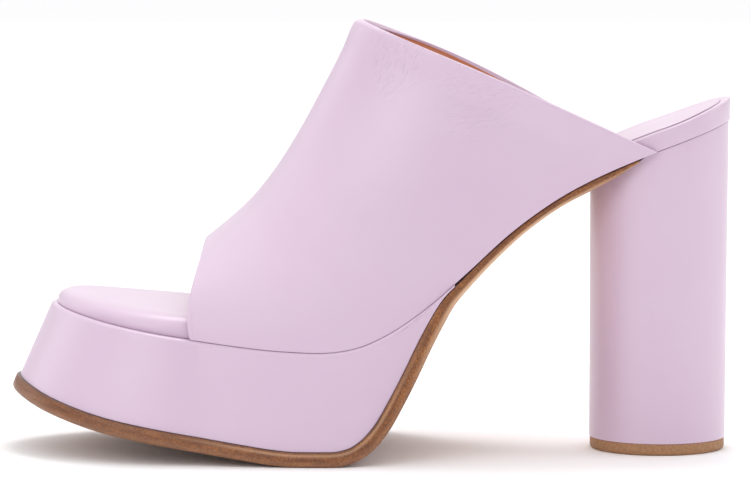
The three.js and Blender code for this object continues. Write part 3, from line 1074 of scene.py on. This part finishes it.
LAVENDER = from_screen(203, 179, 200)
LAVENDER_CLOUD = from_screen(200, 174, 196)
COVER = LeatherFinish("lavender_leather", LAVENDER, LAVENDER_CLOUD)
UPPER_COVER = LeatherFinish(
    "flexed_lavender_leather",
    LAVENDER,
    LAVENDER_CLOUD,
    flexed=(
        FlexZone((6.5, -17.4, 130.5), 15.0, 50.0, 0.14),
        FlexZone((33.5, -25.7, 121.0), 20.0, 22.0, 0.12),
    ),
)
BED_COVER = LeatherFinish(
    "padded_lavender_leather", LAVENDER, LAVENDER_CLOUD, roughness=0.5, crepe=0.05
)
SOCK_COVER = LeatherFinish("smooth_lavender_leather", LAVENDER, LAVENDER_CLOUD, roughness=0.52)
LINING = LeatherFinish(
    "tan_lining",
    from_screen(205, 132, 98),
    from_screen(192, 118, 84),
    roughness=0.55,
    grain=0.03,
    coat=0.0,
)
SOLE = SoleFinish(
    "brown_leather",
    colour=from_screen(158, 98, 46),
    streak=from_screen(92, 48, 22),
    # painted shade of the seam along the top of the edge
    seam=from_screen(58, 32, 30),
    # pale tan: painted highlight of the lower bevel, also the bare underside's colour
    bevel=from_screen(214, 174, 140),
)
LIFT_RUBBER = RubberFinish("tan_rubber", from_screen(166, 124, 88), from_screen(150, 108, 76))
FLOOR = RubberFinish("pale_floor", from_screen(250, 249, 250), from_screen(248, 247, 249), 0.9)


@cache
def dressing(finish: Finish) -> bpy.types.Material:
    """The one material of a finish, which its pieces share."""
    return finish.material()


@dataclass(frozen=True)
class Fitting:
    """How a finished piece joins the shoe: its name, the solid it stands for, its finishes."""

    name: str
    node: str
    slot: str
    finishes: tuple[Finish, ...]

    def install(self, bm: bmesh.types.BMesh) -> bpy.types.Object:
        """Makes the piece, dresses it and sets it on the shoe.

        Args:
            bm: its mesh, which is used up.

        Returns:
            The piece.
        """
        mesh = bpy.data.meshes.new(self.name)
        bm.to_mesh(mesh)
        bm.free()
        for finish in self.finishes:
            mesh.materials.append(dressing(finish))
        piece = bpy.data.objects.new(self.name, mesh)
        bpy.context.scene.collection.objects.link(piece)
        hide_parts(self.node)
        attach(piece, "root")
        LOG.info("%s: %d faces", self.name, len(mesh.polygons))
        return piece


class EdgeSpot(NamedTuple):
    """A point of an edge in section: how far in from the outline, and how high."""

    inset: float
    up: float


def ring_over(top: int, across: int) -> list[tuple[int, float]]:
    """The points round a section: over the bottom, up one edge, over the top and down.

    Args:
        top: number of the edge's highest point, where its lowest is 0.
        across: steps across the section.

    Returns:
        For each point its number in the edge, and its side from -1 (lateral) to 1 (medial).
    """
    shares = [-1 + 2 * i / across for i in range(across + 1)]
    ring = [(0, share) for share in shares]
    ring += [(step, 1.0) for step in range(1, top)]
    ring += [(top, -share) for share in shares]
    ring += [(step, -1.0) for step in range(top - 1, 0, -1)]
    return ring


@dataclass(frozen=True)
class Slab:
    """A piece that follows a curve, with an outline from above and an edge in section."""

    last: Last
    bench: Bench
    curve: Curve
    outline: Outline
    pitch: float
    edge: Callable[[float], list[EdgeSpot]]
    crown: Callable[[float, float], float]
    upright: Callable[[float], float]
    across: int = 16
    round_steps: int = 26

    def build(self) -> bmesh.types.BMesh:
        """Makes the slab.

        Returns:
            Its mesh, whose points keep how high they lie in the edge, from 0 to 1.
        """
        runs = self.outline.stations(self.curve, self.pitch, self.round_steps)
        edges = [self.edge(x) for x in runs]
        top = len(edges[0]) - 1
        ring = ring_over(top, self.across)
        first, last = runs[0], runs[-1]

        def place(row: int, around: int) -> Vector:
            """Where a station's ring has its point.

            Args:
                row: number of the station.
                around: number of the point round it.

            Returns:
                The place, in the frame.
            """
            step, share = ring[around]
            x, (inset, up) = runs[row], edges[row][step]
            if step == top:
                up += self.crown(x, share)
            back = edges[-1][step].inset if self.outline.seat_run > 0 else 0.0
            front = edges[0][step].inset
            drawn = mix(first + front, last - back, (x - first) / (last - first))
            spot = self.curve.square(drawn, up)
            lateral, medial = self.last.sides(self.outline, x, inset)
            y = mix(lateral, medial, (share + 1) / 2)
            return self.bench.at(mix(spot.x, drawn, self.upright(x)), y, spot.z)

        def mark(row: int, around: int) -> float:
            """How high in the edge the point lies.

            Args:
                row: number of the station.
                around: number of the point round it.

            Returns:
                Its height as a share, from 0 to 1.
            """
            spots = edges[row]
            rise = spots[top].up - spots[0].up
            return (spots[ring[around][0]].up - spots[0].up) / rise

        return loft(len(runs) - 1, len(ring), place, mark=mark)


def rounded(up: float, drop: float, run: float, steps: int) -> list[EdgeSpot]:
    """The round upper part of an edge.

    Args:
        up: height of its top.
        drop: how far it comes down.
        run: how far it reaches in.
        steps: steps over the round.

    Returns:
        Its points, from below.
    """
    angles = [i / steps * math.pi / 2 for i in range(steps + 1)]
    return [EdgeSpot(run * (1 - math.cos(a)), up - drop * (1 - math.sin(a))) for a in angles]


def level(x: float, share: float = 0.0) -> float:
    """No height at all."""
    return 0.0


def scaled(shape: Sequence[EdgeSpot], size: float, foot: float = 0.0) -> list[EdgeSpot]:
    """Part of an edge, drawn from shares of a size.

    Args:
        shape: its points, as shares of the size.
        size: the size.
        foot: height that the points are measured from.

    Returns:
        The points.
    """
    return [EdgeSpot(size * spot.inset, foot + size * spot.up) for spot in shape]


@dataclass(frozen=True)
class Outsole:
    """Leather outsole with bevelled edges, skived out under the seat."""

    last: Last
    bench: Bench
    bevel: float = 0.9
    low_share: float = 0.3
    high_share: float = 0.35
    bulge: float = 0.05
    seam: float = 0.06
    pitch: float = 2.0
    bevel_shape: tuple[EdgeSpot, ...] = (
        EdgeSpot(1.1, 0.0),
        EdgeSpot(0.7, 0.14),
        EdgeSpot(0.3, 0.5),
        EdgeSpot(0.0, 1.0),
    )
    fitting: Fitting = Fitting("outsole_leather", "outsole", "sole_leather", (SOLE,))

    def edge(self, x: float) -> list[EdgeSpot]:
        """The edge in section: bevelled below, a little full, and eased above.

        Args:
            x: level run.

        Returns:
            The edge's points, from below.
        """
        thick = self.last.sole_thick(x) + self.last.gap / 2 - self.seam
        low = min(self.bevel, thick * self.low_share)
        high = min(self.bevel, thick * self.high_share)
        full = EdgeSpot(-self.bulge, thick * 0.5)
        return [*scaled(self.bevel_shape, low), full, *rounded(thick, high, high, 5)]

    def build(self) -> bpy.types.Object:
        """Makes the outsole.

        Returns:
            The piece.
        """
        last = self.last
        full = last.ledge + last.side_flare + last.welt
        outline = Outline(
            start=-last.toe_flare - last.welt,
            end=last.footbed_length - last.sole_tail_run,
            toe_run=last.platform_toe_run + last.welt,
            seat_run=0.0,
            margin=lambda share: mix(last.shank_margin, full, last.plan["flare"](share)),
        )
        slab = Slab(last, self.bench, last.tread, outline, self.pitch, self.edge, level, level)
        return self.fitting.install(slab.build())


@dataclass(frozen=True)
class Platform:
    """Leather-covered block that flares from the footbed down to the outsole."""

    last: Last
    bench: Bench
    edge: float = 1.3
    edge_share: float = 0.3
    tail: float = 0.12
    ball_back: float = 0.45
    seam: float = 0.06
    pitch: float = 2.2
    across: int = 12
    round_steps: int = 30
    walls: int = 8
    edge_steps: int = 6
    fitting: Fitting = Fitting("platform_cover", "platform", "cover_leather", (COVER,))

    def foot_at(self, x: float) -> Spot:
        """The platform's foot, on the outsole."""
        return self.last.tread.square(x, self.last.sole_thick(x) + self.last.gap / 2)

    def rear(self) -> float:
        """Finds where outsole and footbed leave only the tail's thickness.

        Returns:
            The level run.
        """
        last = self.last
        near, far = self.ball_back * last.footbed_length, last.under_shank(last.arch_break).x
        while far - near > SEARCH_STEP:
            middle = (near + far) / 2
            foot = self.foot_at(middle)
            if last.bed(foot.x) - last.gap - foot.z > self.tail:
                near = middle
            else:
                far = middle
        return near

    def build(self) -> bpy.types.Object:
        """Makes the platform.

        Returns:
            The piece.
        """
        last, steps = self.last, self.round_steps
        rear = self.rear()
        ledge, flare = last.ledge, last.side_flare
        foot = Outline(
            start=-last.toe_flare,
            end=rear,
            toe_run=last.platform_toe_run,
            seat_run=0.0,
            margin=lambda share: ledge + flare * last.plan["flare"](share),
        )
        top = last.outline(-ledge, last.toe_run, lambda share: ledge)
        foot_runs = foot.stations(last.tread, self.pitch, steps)
        top_rear = self.foot_at(rear).x
        top_runs = []
        for i, x in enumerate(foot_runs):
            if i < steps:
                top_runs.append(top.start + (x - foot.start) * top.toe_run / foot.toe_run)
            else:
                share = (i - steps) / (len(foot_runs) - 1 - steps)
                top_runs.append(mix(top.start + top.toe_run, top_rear, share))
        lows = [self.foot_at(x) for x in foot_runs]
        foot_sides = [last.sides(foot, x) for x in foot_runs]
        angles = [i / self.edge_steps * math.pi / 2 for i in range(self.edge_steps + 1)]
        levels = [(i / self.walls, 0.0, 0.0) for i in range(self.walls)]
        levels += [(1.0, 1 - math.sin(a), self.edge * (1 - math.cos(a))) for a in angles]
        ring = ring_over(len(levels) - 1, self.across)

        def place(row: int, around: int) -> Vector:
            """Where a station's ring has its point.

            Args:
                row: number of the station.
                around: number of the point round it.

            Returns:
                The place, in the frame.
            """
            step, share = ring[around]
            lift, drop, inset = levels[step]
            low = lows[row]
            drawn = mix(top_runs[row], top_rear, inset / (top_rear - top.start))
            high = last.bed.square(drawn, -self.seam / 2)
            wall = math.hypot(high.x - low.x, high.z - low.z)
            lift -= drop * min(self.edge / wall, self.edge_share)
            high_sides = last.sides(top, top_runs[row], inset)
            low_y = mix(*foot_sides[row], (share + 1) / 2)
            high_y = mix(*high_sides, (share + 1) / 2)
            x, z = mix(low.x, high.x, lift), mix(low.z, high.z, lift)
            return self.bench.at(x, mix(low_y, high_y, lift), z)

        return self.fitting.install(loft(len(foot_runs) - 1, len(ring), place))


@dataclass(frozen=True)
class Footbed:
    """Leather-covered board, padded at the toes, with a turned-up rim at the seat."""

    last: Last
    bench: Bench
    thickness: float = 6.1
    pad_drop: float = 4.6
    pad_run: float = 6.5
    pad_rise: float = 1.1
    rise_run: float = 50.0
    toe_start: float = -1.6
    toe_run_in: float = 3.0
    toe_run_fade: float = 40.0
    pad_end: float = 0.2
    pad_fade: float = 0.4
    seam: float = 0.02
    bevel: float = 0.25
    seat_tuck: float = 1.35
    seat_edge: float = 0.9
    seat_curl: float = 1.6
    curl_share: float = 0.1
    pillow: float = 1.6
    dish: float = 0.9
    crown_run: float = 45.0
    crown_seat_run: float = 16.0
    upright_start: float = 0.86
    upright_share: float = 0.14
    pitch: float = 2.4
    across: int = 20
    round_edge_steps: int = 9
    bevel_shape: tuple[EdgeSpot, ...] = (
        EdgeSpot(1.0, 0.0),
        EdgeSpot(0.3, 0.3),
        EdgeSpot(0.0, 1.0),
    )
    fitting: Fitting = Fitting("footbed_cover", "footbed", "footbed_leather", (BED_COVER,))

    def to_seat(self, x: float) -> float:
        """Share of the way from padded forefoot to firm seat."""
        return smooth((x / self.last.footbed_length - self.pad_end) / self.pad_fade)

    def rise(self, x: float) -> float:
        """How much thicker the pad is behind the toes, until it fades into the seat."""
        return self.pad_rise * smooth(x / self.rise_run) * (1 - self.to_seat(x))

    def top(self, x: float) -> float:
        """Height of the top over the underside.

        Args:
            x: level run.

        Returns:
            The height at the edge of the top.
        """
        behind = 1 - x / self.last.footbed_length
        curl = self.seat_curl * smooth(1 - behind / self.curl_share)
        return self.last.gap / 2 + self.thickness + self.rise(x) + curl

    def crown(self, x: float, share: float) -> float:
        """Pillow of the forefoot and dish of the seat, over a share of the width."""
        middle = 1 - share * share
        return mix(self.pillow, -self.dish, self.to_seat(x)) * middle * self.ends(x)

    def ends(self, x: float) -> float:
        """Fades a height out towards the toe tip and the back of the seat."""
        behind = self.last.footbed_length - x
        return smooth(x / self.crown_run) * smooth(behind / self.crown_seat_run)

    def upright(self, x: float) -> float:
        """Share to which the edge stands upright, at the back of the seat."""
        share = x / self.last.footbed_length
        return smooth((share - self.upright_start) / self.upright_share)

    def edge(self, x: float) -> list[EdgeSpot]:
        """The edge in section: bevelled below, and round above.

        Args:
            x: level run.

        Returns:
            The edge's points, from below.
        """
        back = self.to_seat(x)
        toe_run = self.toe_run_in * smooth(1 - x / self.toe_run_fade)
        drop = mix(self.pad_drop, self.seat_edge, back) + self.rise(x)
        run = mix(self.pad_run, self.seat_edge, back) + toe_run
        below = scaled(self.bevel_shape, self.bevel, self.seam)
        return [*below, *rounded(self.top(x), drop, run, self.round_edge_steps)]

    def outline(self) -> Outline:
        """The board from above.

        Returns:
            Its outline.
        """
        last, tuck = self.last, self.seat_tuck
        back, round_run = last.footbed_length - tuck, last.seat_width / 2 - tuck
        return Outline(self.toe_start, back, last.toe_run, round_run, level)

    def slab(self, outline: Outline, edge: Callable[[float], list[EdgeSpot]]) -> Slab:
        """A slab that lies along the board and is crowned as it is.

        Args:
            outline: its outline from above.
            edge: its edge in section, at a level run.

        Returns:
            The slab.
        """
        last, shape = self.last, (self.crown, self.upright, self.across)
        return Slab(last, self.bench, last.bed, outline, self.pitch, edge, *shape)

    def build(self) -> bpy.types.Object:
        """Makes the footbed.

        Returns:
            The piece.
        """
        piece = self.fitting.install(self.slab(self.outline(), self.edge).build())
        return piece


@dataclass(frozen=True)
class HeelSock:
    """Thin half sock glued on the rear of the footbed."""

    last: Last
    bench: Bench
    footbed: Footbed
    thickness: float = 0.4
    seam: float = -0.05
    edge_shape: tuple[EdgeSpot, ...] = (
        EdgeSpot(0.0, 0.0),
        EdgeSpot(0.0, 0.5),
        EdgeSpot(0.12, 0.78),
        EdgeSpot(0.35, 0.95),
        EdgeSpot(0.7, 1.0),
    )
    fitting: Fitting = Fitting("heel_sock_leather", "heel_sock", "sock_leather", (SOCK_COVER,))

    def edge(self, x: float) -> list[EdgeSpot]:
        """The edge in section: straight, and eased above."""
        return scaled(self.edge_shape, self.thickness, self.footbed.top(x) + self.seam)

    def build(self) -> bpy.types.Object:
        """Makes the sock.

        Returns:
            The piece.
        """
        last, bed = self.last, self.footbed
        outline = Outline(
            start=last.footbed_length - last.sock_length,
            end=last.footbed_length - last.sock_inset - bed.seat_tuck,
            toe_run=0.0,
            seat_run=last.seat_width / 2 - last.sock_inset,
            margin=lambda share: -last.sock_inset,
        )
        return self.fitting.install(bed.slab(outline, self.edge).build())


class Skin(Enum):
    """What a stretch of the upper's wall is made of, as a finish number."""

    LEATHER = 0
    LINING = 1


class Side(Enum):
    """Which face of the upper's wall."""

    OUTER = 1
    INNER = -1


@dataclass(frozen=True)
class Upper:
    """One-piece leather upper, lined, open at the toes, at the topline and underneath."""

    last: Last
    bench: Bench
    vamp_start: float = 43.4
    lateral_wing_run: float = 27.2
    medial_wing_run: float = 33.5
    front_rise: float = 29.1
    front_lean: float = 4.6
    peak: Spot = Spot(101.0, 143.9)
    ridge_softening: float = 0.6
    lateral_front_bow: float = 2.2
    medial_front_bow: float = 1.0
    front_bow_reach: float = 0.25
    lateral_topline_bow: float = 0.75
    medial_topline_bow: float = 1.75
    seam: float = 0.1
    topline_bow_reach: float = 0.33
    wall_pull: float = 0.35
    lean_start: float = 0.7
    rim_share: float = 0.006
    fold: float = 0.012
    fold_step: float = 0.15
    rows: int = 150
    columns: int = 200
    rim_rows: int = 5
    crowding: float = 0.7
    normal_step: float = 0.004
    level_start: float = 0.94
    level_share: float = 0.06
    fitting: Fitting = Fitting("upper_leather", "upper", "cover_leather", (UPPER_COVER, LINING))

    @cached_property
    def section(self) -> dict[str, Curve]:
        """Shape of the cross-sections from the front opening to the topline."""
        return {name: column(SECTIONS, "at", name) for name in ("crown", "swell", "ridge")}

    @cached_property
    def front_top(self) -> Spot:
        """Top of the front opening."""
        base = self.last.bed(self.vamp_start)
        return Spot(self.vamp_start + self.front_lean, base + self.front_rise)

    @cached_property
    def ridge(self) -> Curve:
        """Ridge of the upper in side view.

        Returns:
            Its height at a level run.
        """
        low, high = self.front_top, self.peak
        return Curve(
            [mix(low.x, high.x, row.run) for row in RIDGE],
            [mix(low.z, high.z, row.rise) for row in RIDGE],
        ).softened(self.ridge_softening)

    @cached_property
    def ridge_run(self) -> Curve:
        """Level run of the ridge at each share of its length."""
        return self.ridge.paced(self.front_top.x, self.peak.x)[1]

    @cached_property
    def seam_runs(self) -> tuple[Curve, Curve]:
        """The upper's two seams.

        Returns:
            Level runs of the lateral and the medial one at each share of their lengths.
        """
        length, bed = self.last.footbed_length, self.last.bed
        wings = (self.lateral_wing_run, self.medial_wing_run)
        lateral, medial = (bed.paced(self.vamp_start, length - wing)[1] for wing in wings)
        return lateral, medial

    @cached_property
    def outline(self) -> Outline:
        """The outside of the upper at its seams, from above."""
        margin = self.last.upper_fit + self.last.upper_wall
        return self.last.outline(0.0, self.last.toe_run, lambda share: margin)

    def form(self, along: float, turn: float) -> Vector:
        """The upper's outer skin, uncreased.

        Args:
            along: share of the way from the front opening to the topline.
            turn: from -1 at the lateral seam over 0 at the ridge to 1 at the medial seam.

        Returns:
            The place, in the last's millimetres.
        """
        last = self.last
        base_x = self.seam_runs[0 if turn < 0 else 1](along)
        base = last.bed.square(base_x, self.seam)
        square = last.bed.square(base_x, self.seam + 1)
        peak_x = self.ridge_run(along)
        peak = Spot(peak_x, self.ridge(peak_x))
        chord = Spot(peak.x - base.x, peak.z - base.z)
        length = math.hypot(*chord)
        lean = smooth((along - self.lean_start) / (1 - self.lean_start))
        pull = self.wall_pull * length
        control = Spot(
            base.x + pull * mix(square.x - base.x, chord.x / length, lean),
            base.z + pull * mix(square.z - base.z, chord.z / length, lean),
        )
        angle = (1 - abs(turn)) * math.pi / 2
        up = math.sin(angle) ** (2 / self.section["crown"](along))
        down = 1 - up
        x = down * down * base.x + 2 * up * down * control.x + up * up * peak.x
        z = down * down * base.z + 2 * up * down * control.z + up * up * peak.z
        lateral_bows = (self.lateral_front_bow, self.lateral_topline_bow)
        medial_bows = (self.medial_front_bow, self.medial_topline_bow)
        front_bow, topline_bow = lateral_bows if turn < 0 else medial_bows
        front = front_bow * BOW_SCALE * up * down * (1 - smooth(along / self.front_bow_reach))
        crest = topline_bow * CREST_SCALE * up * up * down
        push = crest * smooth(1 - (1 - along) / self.topline_bow_reach) - front
        lateral, medial = last.sides(self.outline, base_x)
        cover = math.cos(angle) * (1 + self.section["swell"](along) * smooth(up))
        lean_over = last.ball_width * self.section["ridge"](along) * (1 - math.cos(angle))
        y = (lateral if turn < 0 else medial) * cover + lean_over
        return Vector((x + chord.z / length * push, y, z - chord.x / length * push))

    def normal(self, along: float, turn: float) -> Vector:
        """The outward direction of the skin; at the seams it is level.

        Args:
            along: share of the way from the front opening to the topline.
            turn: from -1 at the lateral seam over 0 at the ridge to 1 at the medial seam.

        Returns:
            The direction, 1 long.
        """
        step = self.normal_step
        ahead, behind = max(0.0, along - step), min(1.0, along + step)
        left, right = max(-1.0, turn - step), min(1.0, turn + step)
        run = self.form(behind, turn) - self.form(ahead, turn)
        over = self.form(along, right) - self.form(along, left)
        out = run.cross(over).normalized()
        to_level = smooth((abs(turn) - self.level_start) / self.level_share)
        return out.lerp(Vector((0.0, math.copysign(1.0, turn), 0.0)), to_level).normalized()

    def build(self) -> bpy.types.Object:
        """Makes the upper.

        Returns:
            The piece.
        """
        half, wall = self.columns // 2, self.last.upper_wall
        turns = [j / half for j in range(-half, half + 1)]
        ring = [(Side.OUTER, t) for t in turns] + [(Side.INNER, t) for t in reversed(turns)]
        rim, body = self.rim_rows, self.rows
        known: dict[tuple[int, float], tuple[Vector, Vector]] = {}

        def skin(row: int, turn: float) -> tuple[Vector, Vector, float]:
            """A point of the skin, which every row of a rim shares.

            Args:
                row: number of the row, rims included.
                turn: place round the row, from -1 to 1.

            Returns:
                The place, its outward direction, and its share of the upper's length.
            """
            along = self.share_at((row - rim) / body)
            key = (min(max(row, rim), rim + body), turn)
            if key not in known:
                known[key] = (self.form(along, turn), self.normal(along, turn))
            return *known[key], along

        def place(row: int, around: int) -> Vector:
            """Where a row's ring has its point.

            Args:
                row: number of the row.
                around: number of the point round it.

            Returns:
                The place, in the frame.
            """
            side, turn = ring[around]
            point, out, along = skin(row, turn)
            middle = point - out * wall / 2
            reach = wall / 2
            beyond = max(rim - row, row - rim - body, 0) / rim
            if beyond > 0:
                tip = self.form(0.0 if row < rim else 1.0, turn) - self.form(along, turn)
                angle = beyond * math.pi / 2
                middle += tip * math.sin(angle)
                reach *= math.cos(angle)
            elif side is Side.INNER:
                reach -= self.fold_step * self.lined(along)
            spot = middle + out * reach * side.value
            return self.bench.at(spot.x, spot.y, spot.z)

        def region(row: float, around: float) -> int:
            """Leather outside, over the rims and on the folded edges; lining inside.

            Args:
                row: place along the grid, in rows.
                around: place round it, in columns.

            Returns:
                The finish's number.
            """
            inside = half * 2 + 1 < around < len(ring) - 1
            along = self.share_at((row - rim) / body)
            edge = self.rim_share + self.fold
            is_lining = inside and edge < along < 1 - edge
            return (Skin.LINING if is_lining else Skin.LEATHER).value

        return self.fitting.install(loft(body + 2 * rim, len(ring), place, region))

    def share_at(self, row_share: float) -> float:
        """Share of the upper's length at a share of its rows, which crowd at both edges.

        Args:
            row_share: share of the rows, rims left out.

        Returns:
            Share of the length.
        """
        held = clamp01(row_share)
        eased = (1 - math.cos(math.pi * held)) / 2
        return mix(self.rim_share, 1 - self.rim_share, mix(held, eased, self.crowding))

    def lined(self, along: float) -> float:
        """Share to which the wall's inside is drawn back from the folded edges."""
        from_edge = min(along, 1 - along) - self.rim_share - self.fold
        return smooth(from_edge / self.fold)


@dataclass(frozen=True)
class Heel:
    """Round block heel covered in leather, its top cut to the outsole's end and the seat."""

    last: Last
    bench: Bench
    diameter: float = 46.1
    taper: float = 0.3
    lift_thickness: float = 4.0
    seam: float = 0.01
    top_edge: float = 0.4
    step_back: float = 0.3
    step_run: float = 2.2
    foot_ease: float = 0.3
    skin_share: float = 0.97
    edge_start: float = 0.9
    edge_share: float = 0.1
    top_share: float = 0.99
    seam_depth: float = 0.3
    seam_width: float = 0.55
    wall_steps: int = 24
    cap_steps: int = 10
    steps: int = 240
    fitting: Fitting = Fitting("heel_cover", "heel", "cover_leather", (COVER,))

    def top_at(self, x: float) -> float:
        """Height of the heel's top.

        Args:
            x: level run.

        Returns:
            The height over the floor.
        """
        last = self.last
        slant = 1 / (last.bed.square(x, 1.0).z - last.bed(x))
        under_seat = last.bed(x)
        sole_end = last.footbed_length - last.sole_tail_run
        past = smooth((x - sole_end - self.step_back) / self.step_run)
        return mix(last.tread(x), under_seat, past) - self.seam * slant

    def build(self) -> bpy.types.Object:
        """Makes the heel.

        Returns:
            The piece.
        """
        radius, foot = self.diameter / 2, self.lift_thickness + self.seam
        rises = [i / self.wall_steps for i in range(self.wall_steps + 1)]
        walls = [Spot(radius - self.taper * (1 - rise), rise) for rise in rises]
        insets = [i / self.cap_steps for i in range(1, self.cap_steps + 1)]
        cap = [Spot(radius * (1 - inset), 1.0) for inset in insets]
        eased = Spot(radius - self.taper - self.foot_ease, 0.0)
        bm = turned([Spot(0.0, 0.0), eased, *walls, *cap], self.steps)
        for vert in bm.verts:
            x, y, share = vert.co
            if x < 0 and math.hypot(x, y) > radius * self.skin_share:
                x += self.seam_depth * math.exp(-((y / self.seam_width) ** 2))
            run = x + self.last.heel_axis
            height = mix(foot, self.top_at(run), share)
            if share > self.top_share:
                outwards = (math.hypot(x, y) / radius - self.edge_start) / self.edge_share
                height -= self.top_edge * smooth(outwards) ** 3 / 2
            vert.co = self.bench.at(run, y, height)
        close(bm)
        return self.fitting.install(bm)


@dataclass(frozen=True)
class TopLift:
    """Rubber lift under the heel."""

    last: Last
    bench: Bench
    heel: Heel
    setback: float = 0.2
    bevel: float = 1.1
    top_edge: float = 0.2
    steps: int = 160
    fitting: Fitting = Fitting("top_lift_rubber", "top_lift", "lift_rubber", (LIFT_RUBBER,))

    def build(self) -> bpy.types.Object:
        """Makes the lift.

        Returns:
            The piece.
        """
        radius = self.heel.diameter / 2 - self.heel.taper - self.setback
        bevel, thick = self.bevel, self.heel.lift_thickness
        profile = [
            Spot(0.0, 0.0),
            Spot(radius - bevel, 0.0),
            Spot(radius - bevel * 0.6, bevel * 0.1),
            Spot(radius - bevel * 0.25, bevel * 0.4),
            Spot(radius, bevel),
            Spot(radius, thick * 0.6),
            Spot(radius, thick - self.top_edge),
            Spot(radius - self.top_edge, thick),
            Spot(0.0, thick),
        ]
        bm = turned(profile, self.steps)
        for vert in bm.verts:
            x, y, z = vert.co
            vert.co = self.bench.at(x + self.last.heel_axis, y, z)
        close(bm)
        return self.fitting.install(bm)


class Part(Protocol):
    """A sub-assembly of the shoe."""

    def build(self) -> bpy.types.Object:
        """Makes the piece and sets it on the shoe."""


@dataclass(frozen=True)
class SoftBox:
    """A square studio light, aimed at the shoe; places are in metres."""

    name: str
    place: tuple[float, float, float]
    side: float
    power: float
    aim: tuple[float, float, float] = (0.0, 0.0, 0.06)

    def build(self) -> None:
        """Sets the light up."""
        light = bpy.data.lights.new(self.name, "AREA")
        light.size = self.side
        light.energy = self.power
        lamp = bpy.data.objects.new(self.name, light)
        lamp.location = self.place
        ahead = Vector(self.aim) - lamp.location
        lamp.rotation_euler = ahead.to_track_quat("-Z", "Y").to_euler()
        bpy.context.scene.collection.objects.link(lamp)


@dataclass(frozen=True)
class Studio:
    """Pale floor, pale surroundings that brighten overhead, and soft lights."""

    floor_radius: float = 12.0
    floor_sides: int = 96
    surround: Colour = (1.0, 1.0, 1.0)
    at_eye_level: float = 0.44
    overhead: float = 1.34
    lights: tuple[SoftBox, ...] = (
        SoftBox("key", (-1.0, -1.3, 0.7), 0.8, 4.8),
        SoftBox("fill", (-0.8, -0.8, 0.15), 0.7, 0.6, (0.05, 0.0, 0.06)),
        SoftBox("front", (-1.6, 0.6, 0.45), 0.8, 2.2),
        SoftBox("rim", (1.3, 0.0, 0.45), 0.6, 2.6),
        SoftBox("top", (0.0, 0.35, 1.2), 0.4, 4.0),
        SoftBox("back", (0.0, 2.0, 0.75), 1.2, 2.6),
    )

    def build(self) -> None:
        """Sets the studio up."""
        bm = bmesh.new()
        sides, radius = self.floor_sides, self.floor_radius
        bmesh.ops.create_circle(bm, cap_ends=True, segments=sides, radius=radius)
        mesh = bpy.data.meshes.new("floor")
        bm.to_mesh(mesh)
        bm.free()
        mesh.materials.append(dressing(FLOOR))
        floor = bpy.data.objects.new("floor", mesh)
        bpy.context.scene.collection.objects.link(floor)
        self.surroundings()
        bpy.context.scene.view_settings.view_transform = "Standard"
        for light in self.lights:
            light.build()

    def surroundings(self) -> None:
        """Sets the world up."""
        world = bpy.data.worlds.new("studio")
        world.use_nodes = True
        tree = world.node_tree
        background = tree.nodes["Background"]
        background.inputs["Color"].default_value = (*self.surround, 1.0)
        direction = tree.nodes.new("ShaderNodeTexCoord")
        axes = tree.nodes.new("ShaderNodeSeparateXYZ")
        climb = tree.nodes.new("ShaderNodeMapRange")
        climb.inputs["To Min"].default_value = self.at_eye_level
        climb.inputs["To Max"].default_value = self.overhead
        tree.links.new(direction.outputs["Generated"], axes.inputs["Vector"])
        tree.links.new(axes.outputs["Z"], climb.inputs["Value"])
        tree.links.new(climb.outputs["Result"], background.inputs["Strength"])
        bpy.context.scene.world = world


@dataclass(frozen=True)
class Viewpoint:
    """The photograph's camera: a long lens, low and nearly square to the shoe."""

    distance: float = 1800.0
    height: float = 257.0
    aim: tuple[float, float, float] = (104.9, 0.0, 69.8)
    yaw: float = 1.0
    roll: float = 0.2
    focal_pixels: float = 5400.0
    picture_width: int = 750
    sensor: float = 36.0
    sight: tuple[float, float] = (0.1, 100.0)

    def build(self, bench: Bench) -> None:
        """Sets the camera up.

        Args:
            bench: where the last stands.
        """
        yaw, roll = math.radians(self.yaw), math.radians(self.roll)
        aim = Vector(self.aim)
        eye = aim - Vector((math.sin(yaw), math.cos(yaw), 0.0)) * self.distance
        eye.z = self.height
        ahead = (aim - eye).normalized()
        right = ahead.cross(Vector((0.0, 0.0, 1.0))).normalized()
        above = right.cross(ahead)
        rolled_right = right * math.cos(roll) + above * math.sin(roll)
        rolled_up = above * math.cos(roll) - right * math.sin(roll)
        turn = Matrix((rolled_right, rolled_up, -ahead)).transposed().to_4x4()
        camera = bpy.data.cameras.new("camera")
        camera.sensor_width = self.sensor
        camera.lens = self.focal_pixels / self.picture_width * self.sensor
        camera.clip_start, camera.clip_end = self.sight
        eyepiece = bpy.data.objects.new("camera", camera)
        eyepiece.matrix_world = Matrix.Translation(bench.at(*eye)) @ turn
        bpy.context.scene.collection.objects.link(eyepiece)
        bpy.context.scene.camera = eyepiece


def main() -> None:
    """Builds the shoe on its solids, then the studio and the camera."""
    logging.basicConfig(level=logging.INFO)
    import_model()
    last = Last()
    bench = Bench.under(last)
    footbed = Footbed(last, bench)
    heel = Heel(last, bench)
    parts: tuple[Part, ...] = (
        Outsole(last, bench),
        Platform(last, bench),
        footbed,
        HeelSock(last, bench, footbed),
        Upper(last, bench),
        heel,
        TopLift(last, bench, heel),
    )
    for part in parts:
        part.build()
    Studio().build()
    Viewpoint().build(bench)
    bpy.context.view_layer.update()


if __name__ == "__main__":
    main()
